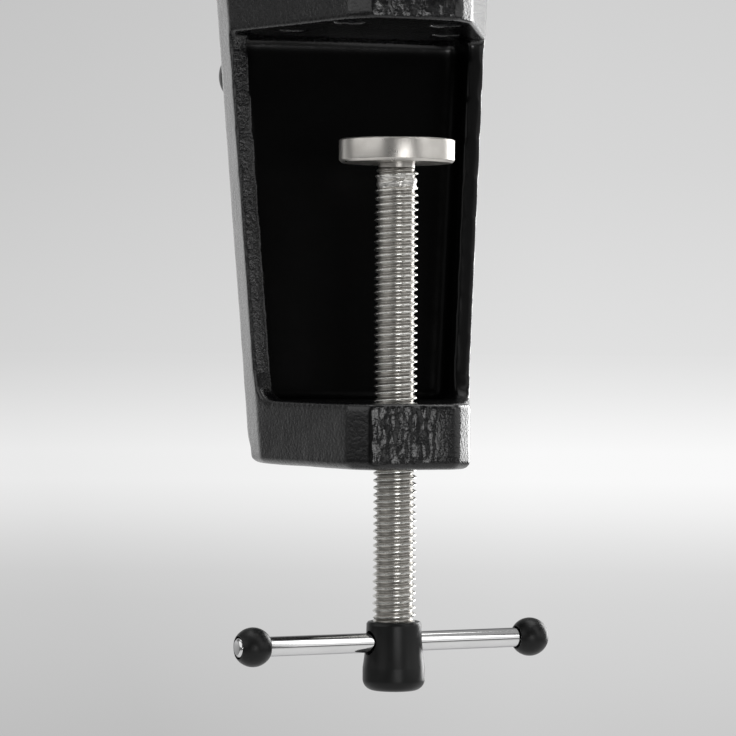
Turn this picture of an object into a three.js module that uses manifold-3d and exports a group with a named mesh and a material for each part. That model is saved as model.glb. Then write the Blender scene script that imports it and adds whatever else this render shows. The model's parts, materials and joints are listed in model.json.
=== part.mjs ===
// A clamp-on vise on a ball joint, in millimetres.
// The origin is on the clamp screw's axis, in the face of the upper jaw that rests on the table.
// +Z is up, +Y points from the screw to the spine, where the user stands, and +X is to the right
// of somebody who looks along +Y.
import * as THREE from 'three';
import { mergeVertices } from 'three/addons/utils/BufferGeometryUtils.js';
import Module from 'manifold-3d';

const wasm = await Module();
wasm.setup();

// Fits
const runningGap = 0.3;            // between pieces that turn or slide on each other
const chamfer = 0.6;               // on turned edges
const holeRunout = 1.5;            // blind holes past the end of their screws
const past = 1;                    // cutting shapes reach this far past a surface
const weld = 0.1;                  // joined shapes run this far into each other

// Table clamp casting
const throatHeight = 82.6;         // upper jaw's table face to the top of the lower arm
const tableThickness = 25;         // table held at rest, jaw face to pad face
const armThickness = 14.6;
const jawThickness = 12;
const noseReach = 15;              // screw axis to the front facet of arm and jaw
const noseWidth = 19.5;            // front facet
const noseBevel = 4.2;             // bevels beside the front facet
const throatReach = 30.7;          // screw axis to the front of the flanges, at the table face
const spineLean = 0.069;           // how far the flanges lean out, per millimetre of height
const spineWidth = 61;             // at the table face
const spineTaper = 0.063;          // how much each side widens, per millimetre of height
const spineDepth = 14;
const flangeThickness = 4.2;
const flangeEdge = 0.5;            // round along the flanges' front edges
const pocketDepth = 9;             // channel between the flanges
const heelRadius = 15;             // lower back corner of the spine
const crownRadius = 6;             // upper back corner
const throatFillet = 5;            // flange fronts into the arm
const castingRound = 2;            // upright corners of the castings
const castingEdge = 1.2;           // bevels along the castings' edges
const screwHoleFlare = 0.8;        // countersinks of the clamp screw's hole

// Clamp screw and pad
const clampMajor = 9.525;          // 3/8 inch
const clampPitch = 1.5875;         // 16 threads an inch
const clampThreadDepth = 0.89;
const clampThreadLength = 99.6;
const padDiameter = 25.4;
const padThickness = 5.2;
const padWall = 1.6;               // pad metal above the screw's tip
const screwNeck = 1;               // plain neck between pad and thread
const tipStep = 0.1;               // screw's tip over the thread's root
const tipBevel = 0.4;
const ringWire = 0.9;              // snap ring that holds the pad
const ringRise = 1.6;              // snap ring above the pad's underside

// Sliding handles, on both screws
const sleeveLength = 15.2;
const sleeveMouth = 12.1;          // diameter where the screw enters
const sleeveFlare = 13.7;          // diameter at the far end
const sleeveRound = 2.5;
const sleeveWall = 2.3;            // end wall
const screwHeadDiameter = 9.4;     // plain end of each screw, inside the sleeve
const barDiameter = 4.3;
const barSpacing = 68;             // between ball centres
const barOverhang = 0.5;           // bar end past its ball
const barBevel = 0.4;
const barOffset = 4.6;             // bar axis below the sleeve's mouth
const ballDiameter = 8.6;
const ballRim = 0.2;               // flat round the hole of each bar ball
const barTurn = THREE.MathUtils.degToRad(10);

// Ball joint
const jointReach = 15;             // screw axis to the ball centre
const jointHeight = 36;            // table face to the ball centre
const jointBall = 32;
const socketDiameter = 47;
const socketWaist = 45;
const socketFoot = 6;              // height of the wide foot
const socketSlope = 2;             // slope from the foot to the waist
const socketLip = 6.5;             // height of the rim above the ball centre
const socketRim = 1.5;             // bevel round the rim
const socketSlot = 3;
const slotFloor = 5;               // metal left under the slot
const seatTop = 7;                 // seat rim below the ball centre
const seatBore = 12;
const ballFlat = 14.2;             // ball centre to the flat under the stem
const neckDiameter = 13;
const neckLength = 6.5;
const neckFillet = 1;
const stemFlangeDiameter = 24;
const stemFlangeThickness = 3;
const stemSpigotDiameter = 14;
const stemSpigotRecess = 1;        // spigot's end below the slide housing's floor
const stemStudDiameter = 8;        // thread in the ball
const stemStudLength = 10;
const footScrewCircle = 39;
const footScrewAngles = [20, 160, 235, 305];
const footScrewDiameter = 4;
const footScrewLength = 15;
const footScrewSink = 0.5;         // heads sunk under the table face

// Lock across the ears
const earThickness = 8;
const earRadius = 8.5;
const earRoot = 6;                 // ears start this far inside the socket's wall
const lockReach = 29;              // ball centre to the lock screw's axis
const lockDrop = 5;                // lock screw's axis below the ball centre
const lockDiameter = 8;
const lockNutWidth = 13;
const lockNutThickness = 6.5;
const lockNutCone = 0.7;           // cone over the nut's corners, past its flats
const lockScrewEnd = 2;            // lock screw past its nut
const lockWasherDiameter = 15;
const lockWasherThickness = 1.5;
const lockHubDiameter = 14;
const lockHubLength = 10;
const leverSeat = 2;               // lock axis to the floor of the lever's hole
const leverLength = 46;            // lock axis to the knob's centre
const leverDiameter = 6;
const leverEnd = 4.6;              // lever's diameter in the knob
const leverKnob = 14;
const knobRim = 1;                 // flat round the knob's hole
const leverAngle = THREE.MathUtils.degToRad(-55);

// Vise head, with heights above the ball centre and reaches in front of it
const bossDiameter = 30;
const bossDrop = 6;                // boss below the body
const bodyFloor = 8;               // body metal under the slide
const bodyRoof = 5.4;              // body metal over the slide
const bodyWidth = 46;
const bodyBack = 28;               // ball centre to the back of the body
const bodyCorner = 3;              // round corners of the body and the jaws
const jawFaceReach = 16;           // ball centre to the fixed gripping face
const jawWidth = 65;
const jawDepth = 15;               // fixed jaw, behind its plate
const jawRise = 20;                // jaw tops above the slide housing
const jawBackBevel = 4;            // bevel along the fixed jaw's back
const jawFootSpread = 2;           // fixed jaw's foot behind its back
const jawWaistRise = 3;            // from the fixed jaw's root to the body's full width
const jawOpening = 14;             // between the gripping faces at rest
const jawPlateThickness = 5;
const jawPlateHeight = 18;
const jawPlateDrop = 1;            // plates below the jaws' tops
const jawPlateInset = 0.5;         // plates inside the jaws' ends
const jawPlateEdge = 0.8;          // round corners of the plates and their seats
const faceSetback = 0.5;           // castings behind the gripping faces, under the plates
const anvilWidth = 32;
const anvilLength = 19;
const anvilRise = 4;
const slideWidth = 26;
const slideHeight = 22;
const slideWall = 5.5;
const slideRoof = 6;
const slideCorner = 1;
const slideTail = 93;              // movable jaw's back face to the end of the slide
const movableDepth = 18;           // movable jaw, front to back at the screw
const movableTopDepth = 11;        // and at its top
const movableSkirt = 4;            // movable jaw below the slide housing's floor
const movableFootWidth = 30;
const movableWaistWidth = 38;
const movableWaistRise = 16;       // height of the waist above the foot
const movableShoulder = 14;        // full depth up to this height above the screw
const movableBevel = 5;
const plateScrewInset = 12.5;      // jaw's end to the plate's screw
const plateScrewDiameter = 5;
const plateScrewHead = 9.6;
const plateScrewLength = 14;
const plateScrewSink = 0.6;        // screw heads below the gripping face

// Lead screw
const leadMajor = 10;
const leadPitch = 2;
const leadThreadDepth = 1.1;
const leadHeight = 8;              // axis above the slide housing's floor
const leadJournal = 8.8;
const leadTail = 2;                // thread past the end of the slide
const collarDiameter = 13.4;
const collarLength = 5;
const collarPinDiameter = 2.5;
const collarPinSink = 0.4;         // pin ends below the collar's skin
const washerDiameter = 16;
const washerThickness = 1.5;
const nutLength = 14;
const nutShank = 12;
const nutShankRecess = 1;          // shank's end inside the body's underside
const nutScrewDiameter = 5;
const nutWasherDiameter = 11;
const nutWasherThickness = 1;
const setScrewDiameter = 5;

// Heads and keys of the screws, in screw diameters
const capHead = 1.72;
const capKey = 0.8;
const capKeyDepth = 0.55;
const sunkKey = 0.6;
const sunkKeyDepth = 0.4;
const screwEdge = 0.1;             // bevels on heads and points
const sunkHeadLand = 0.2;          // upright edge of a countersunk head, in millimetres

// How finely round things are divided
const roundSides = 24;
const smallSides = 12;
const padSides = 36;
const threadSteps = 8;             // around one turn of a thread
const heelSteps = 5;
const flareSteps = 4;

// Places that follow from the sizes above
const armTop = -throatHeight;
const armBottom = armTop - armThickness;
const padTop = -tableThickness;
const padBottom = padTop - padThickness;
const threadTop = padBottom - screwNeck;
const clampMouth = threadTop - clampThreadLength;
const screwTip = clampMajor / 2 - clampThreadDepth + tipStep;
const footHeadSeat = footScrewDiameter + footScrewSink;
const footHole = footScrewDiameter / 2 + runningGap;
const ballBore = jointBall / 2 + runningGap;
const socketBottom = jawThickness - jointHeight;
const earFace = socketSlot / 2 + earThickness;
const hubFace = earFace + lockWasherThickness;
const bodyBottom = ballFlat + runningGap + neckLength + stemFlangeThickness + bossDrop;
const slideFloor = bodyBottom + bodyFloor;
const slideTop = slideFloor + runningGap + slideHeight;
const bodyTop = slideTop + runningGap + bodyRoof;
const jawTop = bodyTop + jawRise;
const leadAxis = slideFloor + leadHeight;
const plateBottom = jawTop - jawPlateHeight - jawPlateDrop;
const plateMiddle = plateBottom + jawPlateHeight / 2;
const plateStep = plateBottom - runningGap;
const plateScrewPlace = jawWidth / 2 - plateScrewInset;
const fixedSeat = jawFaceReach - jawPlateThickness;
const movableFace = jawFaceReach + jawOpening;
const movableSeat = movableFace + jawPlateThickness;
const movableBottom = slideFloor - movableSkirt;
const slideEnd = movableSeat - slideTail;
const leadMouth = movableSeat + movableDepth + washerThickness;
const collarMiddle = movableSeat - runningGap - collarLength / 2;
const nutMiddle = nutLength / 2 - bodyBack;
const setScrewHeight = bodyBottom - bossDrop / 2;

// Finishes
function finish(color, roughness, metalness) {
  return new THREE.MeshStandardMaterial({ color, roughness, metalness, flatShading: true });
}

const enamel = finish(0x151515, 0.42, 0);
const blackPlastic = finish(0x1c1e1e, 0.45, 0);
const zincSteel = finish(0xb4b2ad, 0.32, 1);
const turnedSteel = finish(0xa6a19b, 0.3, 1);
const chrome = finish(0xd6d7d8, 0.08, 1);
const darkSteel = finish(0x3a3a3c, 0.4, 1);
const brass = finish(0xb08d57, 0.35, 1);
const nylon = finish(0xe6e1d4, 0.6, 0);

// Joining and cutting closed meshes
function signedVolume(places, corners) {
  const a = new THREE.Vector3();
  const b = new THREE.Vector3();
  const c = new THREE.Vector3();
  let volume = 0;
  for (let i = 0; i < corners.length; i += 3) {
    a.fromArray(places, 3 * corners[i]);
    b.fromArray(places, 3 * corners[i + 1]);
    c.fromArray(places, 3 * corners[i + 2]);
    volume += a.dot(b.cross(c)) / 6;
  }
  return volume;
}

function solidOf(geometry) {
  const bare = geometry.clone();
  bare.deleteAttribute('normal');
  bare.deleteAttribute('uv');
  const merged = mergeVertices(bare, 1e-4);
  const places = merged.attributes.position.array;
  const corners = [];
  for (let i = 0; i < merged.index.count; i += 3) {
    const [a, b, c] = merged.index.array.slice(i, i + 3);
    if (a !== b && b !== c && c !== a) corners.push(a, b, c);
  }
  if (signedVolume(places, corners) < 0) corners.reverse();
  const mesh = new wasm.Mesh({ numProp: 3, vertProperties: places, triVerts: Uint32Array.from(corners) });
  return new wasm.Manifold(mesh);
}

function geometryOf(solid) {
  const mesh = solid.getMesh();
  const geometry = new THREE.BufferGeometry();
  geometry.setAttribute('position', new THREE.BufferAttribute(mesh.vertProperties, 3));
  geometry.setIndex(new THREE.BufferAttribute(mesh.triVerts, 1));
  return geometry;
}

function join(...geometries) {
  return geometryOf(geometries.map(solidOf).reduce((whole, next) => whole.add(next)));
}

function cut(geometry, ...tools) {
  return geometryOf(tools.map(solidOf).reduce((left, tool) => left.subtract(tool), solidOf(geometry)));
}

function common(...geometries) {
  return geometryOf(geometries.map(solidOf).reduce((whole, next) => whole.intersect(next)));
}

// Shapes. Profiles are pairs of radius and height, and outlines are corners with their radius.
function turned(profile, sides = roundSides) {
  const points = profile.map(([radius, height]) => new THREE.Vector2(radius, height));
  return new THREE.LatheGeometry(points, sides).rotateX(Math.PI / 2);
}

function arc(centre, radius, from, to, steps) {
  return Array.from({ length: steps + 1 }, (_, i) => {
    const angle = THREE.MathUtils.degToRad(from + (to - from) * i / steps);
    return [centre[0] + radius * Math.cos(angle), centre[1] + radius * Math.sin(angle)];
  });
}

// The angle in degrees at which a circle reaches a width or a height
function angleAtWidth(width, radius) {
  return THREE.MathUtils.radToDeg(Math.acos(width / radius));
}

function angleAtHeight(height, radius) {
  return THREE.MathUtils.radToDeg(Math.asin(height / radius));
}

function rod(radius, from, to, sides = roundSides) {
  return turned([[0, from], [radius, from], [radius, to], [0, to]], sides);
}

function chamferedRod(radius, from, to, edge, sides = roundSides) {
  const profile = [
    [0, from], [radius - edge, from], [radius, from + edge],
    [radius, to - edge], [radius - edge, to], [0, to],
  ];
  return turned(profile, sides);
}

function block(x, y, z) {
  const size = [x, y, z].map(([from, to]) => to - from);
  const middle = [x, y, z].map(([from, to]) => (from + to) / 2);
  return new THREE.BoxGeometry(...size).translate(...middle);
}

function rounded(corners, steps = 3) {
  const places = corners.map(([x, y]) => new THREE.Vector2(x, y));
  return corners.flatMap(([, , radius = 0], i) => {
    const corner = places[i];
    if (!radius) return [corner];
    const before = places.at(i - 1).clone().sub(corner).normalize();
    const after = places[(i + 1) % places.length].clone().sub(corner).normalize();
    const half = Math.acos(THREE.MathUtils.clamp(before.dot(after), -1, 1)) / 2;
    const towards = before.clone().add(after).normalize();
    const centre = towards.multiplyScalar(radius / Math.sin(half)).add(corner);
    const start = before.multiplyScalar(radius / Math.tan(half)).add(corner).sub(centre);
    const end = after.multiplyScalar(radius / Math.tan(half)).add(corner).sub(centre);
    const turn = Math.atan2(start.cross(end), start.dot(end));
    return Array.from({ length: steps + 1 }, (_, k) => {
      const origin = new THREE.Vector2(0, 0);
      return start.clone().rotateAround(origin, turn * k / steps).add(centre);
    });
  });
}

// A counter-clockwise outline's corners, with its sides moved inwards by the same distance.
function inset(corners, distance) {
  const places = corners.map(([x, y]) => new THREE.Vector2(x, y));
  return corners.map(([, , radius], i) => {
    const coming = places[i].clone().sub(places.at(i - 1)).normalize();
    const going = places[(i + 1) % places.length].clone().sub(places[i]).normalize();
    const side = new THREE.Vector2(-coming.y - going.y, coming.x + going.x);
    const { x, y } = side.multiplyScalar(distance / (1 + coming.dot(going))).add(places[i]);
    const hollow = coming.cross(going) < 0;
    return [x, y, radius && (hollow ? radius + distance : Math.max(radius - distance, radius / 4))];
  });
}

// A closed skin over outlines with equally many points, counter-clockwise, one above the other.
function loft(levels) {
  const count = levels[0].points.length;
  const places = levels.flatMap(({ z, points }) => points.flatMap((p) => [p.x, p.y, z]));
  const corners = [];
  for (let level = 0; level + 1 < levels.length; level++) {
    for (let i = 0; i < count; i++) {
      const a = level * count + i;
      const b = level * count + (i + 1) % count;
      corners.push(a, b, b + count, a, b + count, a + count);
    }
  }
  const top = (levels.length - 1) * count;
  for (const [a, b, c] of THREE.ShapeUtils.triangulateShape(levels[0].points, [])) {
    corners.push(c, b, a);
  }
  for (const [a, b, c] of THREE.ShapeUtils.triangulateShape(levels.at(-1).points, [])) {
    corners.push(top + a, top + b, top + c);
  }
  const geometry = new THREE.BufferGeometry();
  geometry.setAttribute('position', new THREE.Float32BufferAttribute(places, 3));
  geometry.setIndex(corners);
  return geometry;
}

// A prism along +Z from the plane of its outline, given as corners, with bevels around its ends.
function prism(corners, depth, bevel = 0, steps = 3) {
  const plain = rounded(corners, steps);
  if (!bevel) return new THREE.ExtrudeGeometry(new THREE.Shape(plain), { depth, bevelEnabled: false });
  const end = rounded(inset(corners, bevel), steps);
  return loft([
    { z: 0, points: end }, { z: bevel, points: plain },
    { z: depth - bevel, points: plain }, { z: depth, points: end },
  ]);
}

// A prism along X, from an outline in Y and Z
function sidePrism(corners, from, to, bevel = 0, steps = 3) {
  const across = new THREE.Matrix4().makeBasis(
    new THREE.Vector3(0, 1, 0), new THREE.Vector3(0, 0, 1), new THREE.Vector3(1, 0, 0));
  return prism(corners, to - from, bevel, steps).applyMatrix4(across).translate(from, 0, 0);
}

// A prism along Y, from an outline in X and Z
function frontPrism(corners, from, to, bevel = 0, steps = 3) {
  return prism(corners, to - from, bevel, steps).rotateX(Math.PI / 2).translate(0, to, 0);
}

function hexagon(width) {
  return Array.from({ length: 6 }, (_, i) => {
    const angle = i * Math.PI / 3;
    return [width / Math.sqrt(3) * Math.cos(angle), width / Math.sqrt(3) * Math.sin(angle)];
  });
}

function alongX(geometry) {
  return geometry.rotateY(Math.PI / 2);
}

function alongY(geometry) {
  return geometry.rotateX(-Math.PI / 2);
}

// A V thread about the height axis. The root and crest lines climb one pitch a turn, and the
// flanks between them close on themselves a turn later. It runs past both ends of the length.
function threadBody(major, depth, pitch, length) {
  const spare = 1.5;
  const turns = Math.ceil(length / pitch) + 2 * spare;
  const last = turns * threadSteps;
  const rootRadius = major / 2 - depth;
  const places = [];
  for (let s = 0; s <= last; s++) {
    const angle = 2 * Math.PI * s / threadSteps;
    const height = pitch * (s / threadSteps - spare);
    places.push(rootRadius * Math.cos(angle), rootRadius * Math.sin(angle), height);
    places.push(major / 2 * Math.cos(angle), major / 2 * Math.sin(angle), height + pitch / 2);
  }
  places.push(0, 0, -(spare + 1) * pitch);
  places.push(0, 0, pitch * turns);
  const root = (s) => 2 * s;
  const crest = (s) => 2 * s + 1;
  const bottom = 2 * (last + 1);
  const top = bottom + 1;
  const corners = [];
  for (let s = 0; s < last; s++) {
    corners.push(root(s), root(s + 1), crest(s + 1), root(s), crest(s + 1), crest(s));
  }
  for (let s = 0; s < last - threadSteps; s++) {
    const next = s + threadSteps;
    corners.push(crest(s), crest(s + 1), root(next + 1), crest(s), root(next + 1), root(next));
  }
  for (let s = 0; s < threadSteps; s++) {
    const high = last - threadSteps + s;
    corners.push(bottom, root(s + 1), root(s));
    corners.push(top, crest(high), crest(high + 1));
  }
  corners.push(bottom, crest(0), root(threadSteps), bottom, root(0), crest(0));
  corners.push(top, crest(last), root(last), top, root(last), crest(last - threadSteps));
  const geometry = new THREE.BufferGeometry();
  geometry.setAttribute('position', new THREE.Float32BufferAttribute(places, 3));
  geometry.setIndex(corners);
  return geometry;
}

// A thread from height 0 to its length, with coned ends.
function thread(major, depth, pitch, length) {
  const blank = chamferedRod(major / 2 + depth, 0, length, 2 * depth);
  return common(threadBody(major, depth, pitch, length), blank);
}

// A cap screw with its head on height 0 and its shank along -Z.
function capScrew(diameter, shankLength) {
  const edge = screwEdge * diameter;
  const head = chamferedRod(capHead * diameter / 2, 0, diameter, edge, smallSides);
  const shank = chamferedRod(diameter / 2, -shankLength, weld, edge, smallSides);
  const key = prism(hexagon(capKey * diameter), diameter);
  return cut(join(head, shank), key.translate(0, 0, (1 - capKeyDepth) * diameter));
}

// A countersunk screw with its head's face on height 0 and its shank along -Z.
function countersunkScrew(diameter, headDiameter, length) {
  const edge = screwEdge * diameter;
  const cone = (headDiameter - diameter) / 2;
  const profile = [
    [0, -length], [diameter / 2 - edge, -length], [diameter / 2, edge - length],
    [diameter / 2, -cone], [headDiameter / 2, -sunkHeadLand], [headDiameter / 2, 0], [0, 0],
  ];
  const key = prism(hexagon(sunkKey * diameter), diameter);
  return cut(turned(profile, smallSides), key.translate(0, 0, -sunkKeyDepth * diameter));
}

// Half the width of the clamp casting, and the front of its flanges, at a height
function spineHalfWidth(z) {
  return spineWidth / 2 + spineTaper * z;
}

function flangeFront(z) {
  return throatReach + spineLean * z;
}

// Plan of an arm or jaw: front facet, two bevels and two long facets that meet the flanges.
function wedge(z) {
  const side = spineHalfWidth(z);
  const front = flangeFront(z);
  const nose = noseWidth / 2;
  return [
    [-nose, -noseReach, castingRound], [nose, -noseReach, castingRound],
    [nose + noseBevel, noseBevel - noseReach, castingRound], [side, front],
    [side, front + pocketDepth], [-side, front + pocketDepth], [-side, front],
    [-nose - noseBevel, noseBevel - noseReach, castingRound],
  ];
}

// Plan of the hollow between the flanges, open towards the screw
function channel(z) {
  const side = spineHalfWidth(z) - flangeThickness;
  const mouth = flangeFront(z) - throatFillet - 2 * past;
  const floor = flangeFront(z) + pocketDepth;
  return [[-side, mouth], [side, mouth], [side, floor, castingRound], [-side, floor, castingRound]];
}

function spineSection(z) {
  const side = spineHalfWidth(z);
  const front = flangeFront(z);
  const back = front + spineDepth;
  return [
    [-side, front, flangeEdge], [side, front, flangeEdge],
    [side, back, 2 * castingRound], [-side, back, 2 * castingRound],
  ];
}

// The skin of a casting between two heights, with bevels of its own at each end.
function castLoft(section, from, to, lowBevel, highBevel) {
  return loft([
    { z: from, points: rounded(inset(section(from), lowBevel)) },
    { z: from + lowBevel, points: rounded(section(from + lowBevel)) },
    { z: to - highBevel, points: rounded(section(to - highBevel)) },
    { z: to, points: rounded(inset(section(to), highBevel)) },
  ]);
}

// The channel-shaped spine, with its round heel and crown
function spine() {
  const skin = castLoft(spineSection, armBottom, jawThickness, castingEdge, castingEdge);
  const back = (z) => flangeFront(z) + spineDepth;
  const profile = [
    [back(armBottom), armBottom, heelRadius], [back(jawThickness), jawThickness, crownRadius],
    [0, jawThickness], [0, armBottom],
  ];
  return common(skin, sidePrism(profile, -spineWidth, spineWidth, 0, heelSteps));
}

// The hollow corner where the flanges run into the arm
function throatCorner() {
  const front = flangeFront(armTop);
  const start = front - throatFillet;
  const hollow = arc([start, armTop + throatFillet], throatFillet, 360, 270, 4);
  const outline = [
    ...hollow, [start, armTop - past], [front + past, armTop - past], [front + past, armTop + throatFillet],
  ];
  const plan = (z) => ({ z, points: rounded(wedge(z)) });
  const between = loft([plan(armTop - past), plan(armTop + 2 * throatFillet)]);
  return common(sidePrism(outline, -spineWidth, spineWidth), between);
}

// The clamp screw's hole through the arm, with its countersinks
function clampScrewHole() {
  const bore = clampMajor / 2 + runningGap;
  const wide = bore + screwHoleFlare + past;
  return turned([
    [0, armBottom - past], [wide, armBottom - past], [bore, armBottom + screwHoleFlare],
    [bore, armTop - screwHoleFlare], [wide, armTop + past], [0, armTop + past],
  ]);
}

function clampFrame() {
  const arm = castLoft(wedge, armBottom, armTop, castingEdge, castingEdge / 2);
  const jaw = castLoft(wedge, 0, jawThickness, castingEdge / 3, castingEdge);
  const pocket = castLoft(channel, armTop, 0, castingEdge, castingEdge);
  const whole = join(arm, jaw, spine(), throatCorner());
  return cut(whole, pocket, clampScrewHole(), ...footScrewPlaces().flatMap(footScrewHoles));
}

// Screws that hold the socket on the upper jaw, from below
function footScrewPlaces() {
  return footScrewAngles.map((degrees) => {
    const angle = THREE.MathUtils.degToRad(degrees);
    const radius = footScrewCircle / 2;
    return [radius * Math.cos(angle), jointReach + radius * Math.sin(angle)];
  });
}

function footScrewHoles([x, y]) {
  const shank = rod(footHole, -past, jawThickness + past, smallSides);
  const head = rod(capHead * footScrewDiameter / 2 + runningGap, -past, footHeadSeat, smallSides);
  return [shank.translate(x, y, 0), head.translate(x, y, 0)];
}

// Split cup for the ball, with heights from the ball centre
function socketCup() {
  const foot = socketDiameter / 2;
  const waist = socketWaist / 2;
  return turned([
    [0, socketBottom], [foot, socketBottom], [foot, socketBottom + socketFoot - socketSlope],
    [waist, socketBottom + socketFoot], [waist, socketLip - socketRim],
    [waist - socketRim, socketLip], [0, socketLip],
  ]);
}

function socketHollow() {
  const rimAngle = angleAtHeight(socketLip, ballBore);
  const mouth = Math.sqrt(ballBore ** 2 - socketLip ** 2);
  return turned([
    [0, socketBottom - past], [ballBore, socketBottom - past], ...arc([0, 0], ballBore, 0, rimAngle, 4),
    [mouth + past, socketLip + past], [0, socketLip + past],
  ]);
}

// The two ears, as one piece before the slot parts them
function socketEars() {
  const root = socketWaist / 2 - earRoot;
  const tip = lockReach + earRadius;
  const round = earRadius - weld;
  const outline = [
    [root, -lockDrop - earRadius], [tip, -lockDrop - earRadius, round],
    [tip, -lockDrop + earRadius, round], [root, -lockDrop + earRadius],
  ];
  return sidePrism(outline, -earFace, earFace, castingEdge / 2, heelSteps);
}

function socketBody() {
  const slotReach = [0, lockReach + earRadius + past];
  const slotRise = [socketBottom + slotFloor, socketLip + past];
  const slot = block([-socketSlot / 2, socketSlot / 2], slotReach, slotRise);
  const lockHole = alongX(rod(lockDiameter / 2 + runningGap, -earFace - past, earFace + past));
  const depth = footScrewLength - jawThickness + footHeadSeat + holeRunout;
  const tapped = footScrewPlaces().map(([x, y]) => {
    const hole = rod(footHole, socketBottom - past, socketBottom + depth, smallSides);
    return hole.translate(x, y - jointReach, 0);
  });
  const whole = join(socketCup(), socketEars());
  return cut(whole, socketHollow(), slot, lockHole.translate(0, lockReach, -lockDrop), ...tapped);
}

function ballSeat() {
  const floor = socketBottom + runningGap;
  const outer = jointBall / 2;
  const low = angleAtWidth(seatBore / 2, ballBore);
  const high = angleAtHeight(seatTop, ballBore);
  const hollow = arc([0, 0], ballBore, -high, -low, 6);
  const start = [seatBore / 2, floor];
  return turned([start, [outer, floor], [outer, -seatTop], ...hollow, start]);
}

function jointBallPiece() {
  const radius = jointBall / 2;
  const hole = stemStudDiameter / 2 + runningGap;
  const floor = ballFlat - stemStudLength - holeRunout;
  const skin = arc([0, 0], radius, -90, angleAtHeight(ballFlat, radius), 12);
  skin[0] = [0, -radius];
  return turned([...skin, [hole, ballFlat], [hole, floor], [0, floor]]);
}

function ballStem() {
  const shoulder = ballFlat + runningGap;
  const studEnd = shoulder - stemStudLength;
  const flange = shoulder + neckLength;
  const seat = flange + stemFlangeThickness;
  const top = slideFloor - stemSpigotRecess;
  const stud = stemStudDiameter / 2;
  const neck = neckDiameter / 2;
  const wide = stemFlangeDiameter / 2;
  const spigot = stemSpigotDiameter / 2;
  return turned([
    [0, studEnd], [stud - chamfer, studEnd], [stud, studEnd + chamfer], [stud, shoulder],
    [neck, shoulder], [neck, flange - neckFillet], [neck + neckFillet, flange],
    [wide - chamfer, flange], [wide, flange + chamfer], [wide, seat - chamfer], [wide - chamfer, seat],
    [spigot, seat], [spigot, top - chamfer], [spigot - chamfer, top], [0, top],
  ]);
}

// A set screw along +Z, with its key hole in the far end
function setScrew() {
  const length = (bossDiameter - stemSpigotDiameter) / 2 - 2 * runningGap;
  const body = chamferedRod(setScrewDiameter / 2, 0, length, screwEdge * setScrewDiameter, smallSides);
  return cut(body, prism(hexagon(setScrewDiameter / 2), length).translate(0, 0, length / 2));
}

// Lock pieces lie along X, with the lever's side at -X
function lockScrew() {
  const nutEnd = earFace + lockNutThickness + lockScrewEnd;
  const shank = chamferedRod(lockDiameter / 2, -hubFace - weld, nutEnd, chamfer);
  const hub = chamferedRod(lockHubDiameter / 2, -hubFace - lockHubLength, -hubFace, chamfer);
  const leverHole = rod(leverDiameter / 2 + runningGap, leverSeat, lockHubDiameter, smallSides);
  const socket = leverHole.rotateX(leverAngle - Math.PI / 2);
  return cut(alongX(join(shank, hub)), socket.translate(-hubFace - lockHubLength / 2, 0, 0));
}

function lockLever() {
  const root = leverSeat + runningGap;
  const wide = leverDiameter / 2;
  const slim = leverEnd / 2;
  const taperStart = (lockHubDiameter + leverDiameter) / 2;
  return turned([
    [0, root], [wide, root], [wide, taperStart], [slim, leverLength - leverKnob / 2],
    [slim, leverLength], [0, leverLength],
  ], smallSides);
}

function leverKnobPiece() {
  const radius = leverKnob / 2;
  const hole = leverEnd / 2 + runningGap;
  const flat = angleAtWidth(hole + knobRim, radius);
  const skin = arc([0, 0], radius, -flat, 90, 9);
  skin[skin.length - 1] = [0, radius];
  return turned([[0, runningGap], [hole, runningGap], [hole, skin[0][1]], ...skin]);
}

function hexNut(width, thickness, hole) {
  const blank = prism(hexagon(width), thickness);
  const cone = chamferedRod(width / 2 + lockNutCone, 0, thickness, chamfer);
  return cut(common(blank, cone), rod(hole, -past, thickness + past, smallSides));
}

function washer(outer, inner, thickness) {
  const start = [inner, 0];
  return turned([start, [outer, 0], [outer, thickness], [inner, thickness], start]);
}

// Handle pieces lie along +Z, away from the sleeve's mouth
function sleeve() {
  const bore = screwHeadDiameter / 2 + runningGap;
  const floor = sleeveLength - sleeveWall;
  const wide = sleeveFlare / 2;
  const spread = wide - sleeveMouth / 2;
  const flare = Array.from({ length: flareSteps + 1 }, (_, i) => {
    const share = i / flareSteps;
    return [sleeveMouth / 2 + spread * share ** 2, share * (sleeveLength - 2 * sleeveRound)];
  });
  const end = arc([wide - sleeveRound, sleeveLength - sleeveRound], sleeveRound, 0, 90, 4);
  const body = turned([[0, floor], [bore, floor], [bore, 0], ...flare, ...end, [0, sleeveLength]]);
  return cut(body, barHole());
}

function barHole() {
  const hole = rod(barDiameter / 2 + runningGap, -sleeveFlare, sleeveFlare, smallSides);
  return alongX(hole).translate(0, 0, barOffset);
}

function screwHead() {
  const length = sleeveLength - sleeveWall - runningGap;
  return cut(chamferedRod(screwHeadDiameter / 2, 0, length, chamfer), barHole());
}

// Outline of a bar ball between the flats round its hole
function barBallSkin() {
  const rim = barDiameter / 2 + runningGap + ballRim;
  const flat = angleAtWidth(rim, ballDiameter / 2);
  return arc([0, 0], ballDiameter / 2, -flat, flat, 6);
}

function barBall() {
  const hole = barDiameter / 2 + runningGap;
  const skin = barBallSkin();
  const start = [hole, skin[0][1]];
  return alongX(turned([start, ...skin, [hole, -skin[0][1]], start], 16));
}

function tommyBar() {
  const half = barSpacing / 2 - barBallSkin()[0][1] + barOverhang;
  return alongX(chamferedRod(barDiameter / 2, -half, half, barBevel, smallSides));
}

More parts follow.
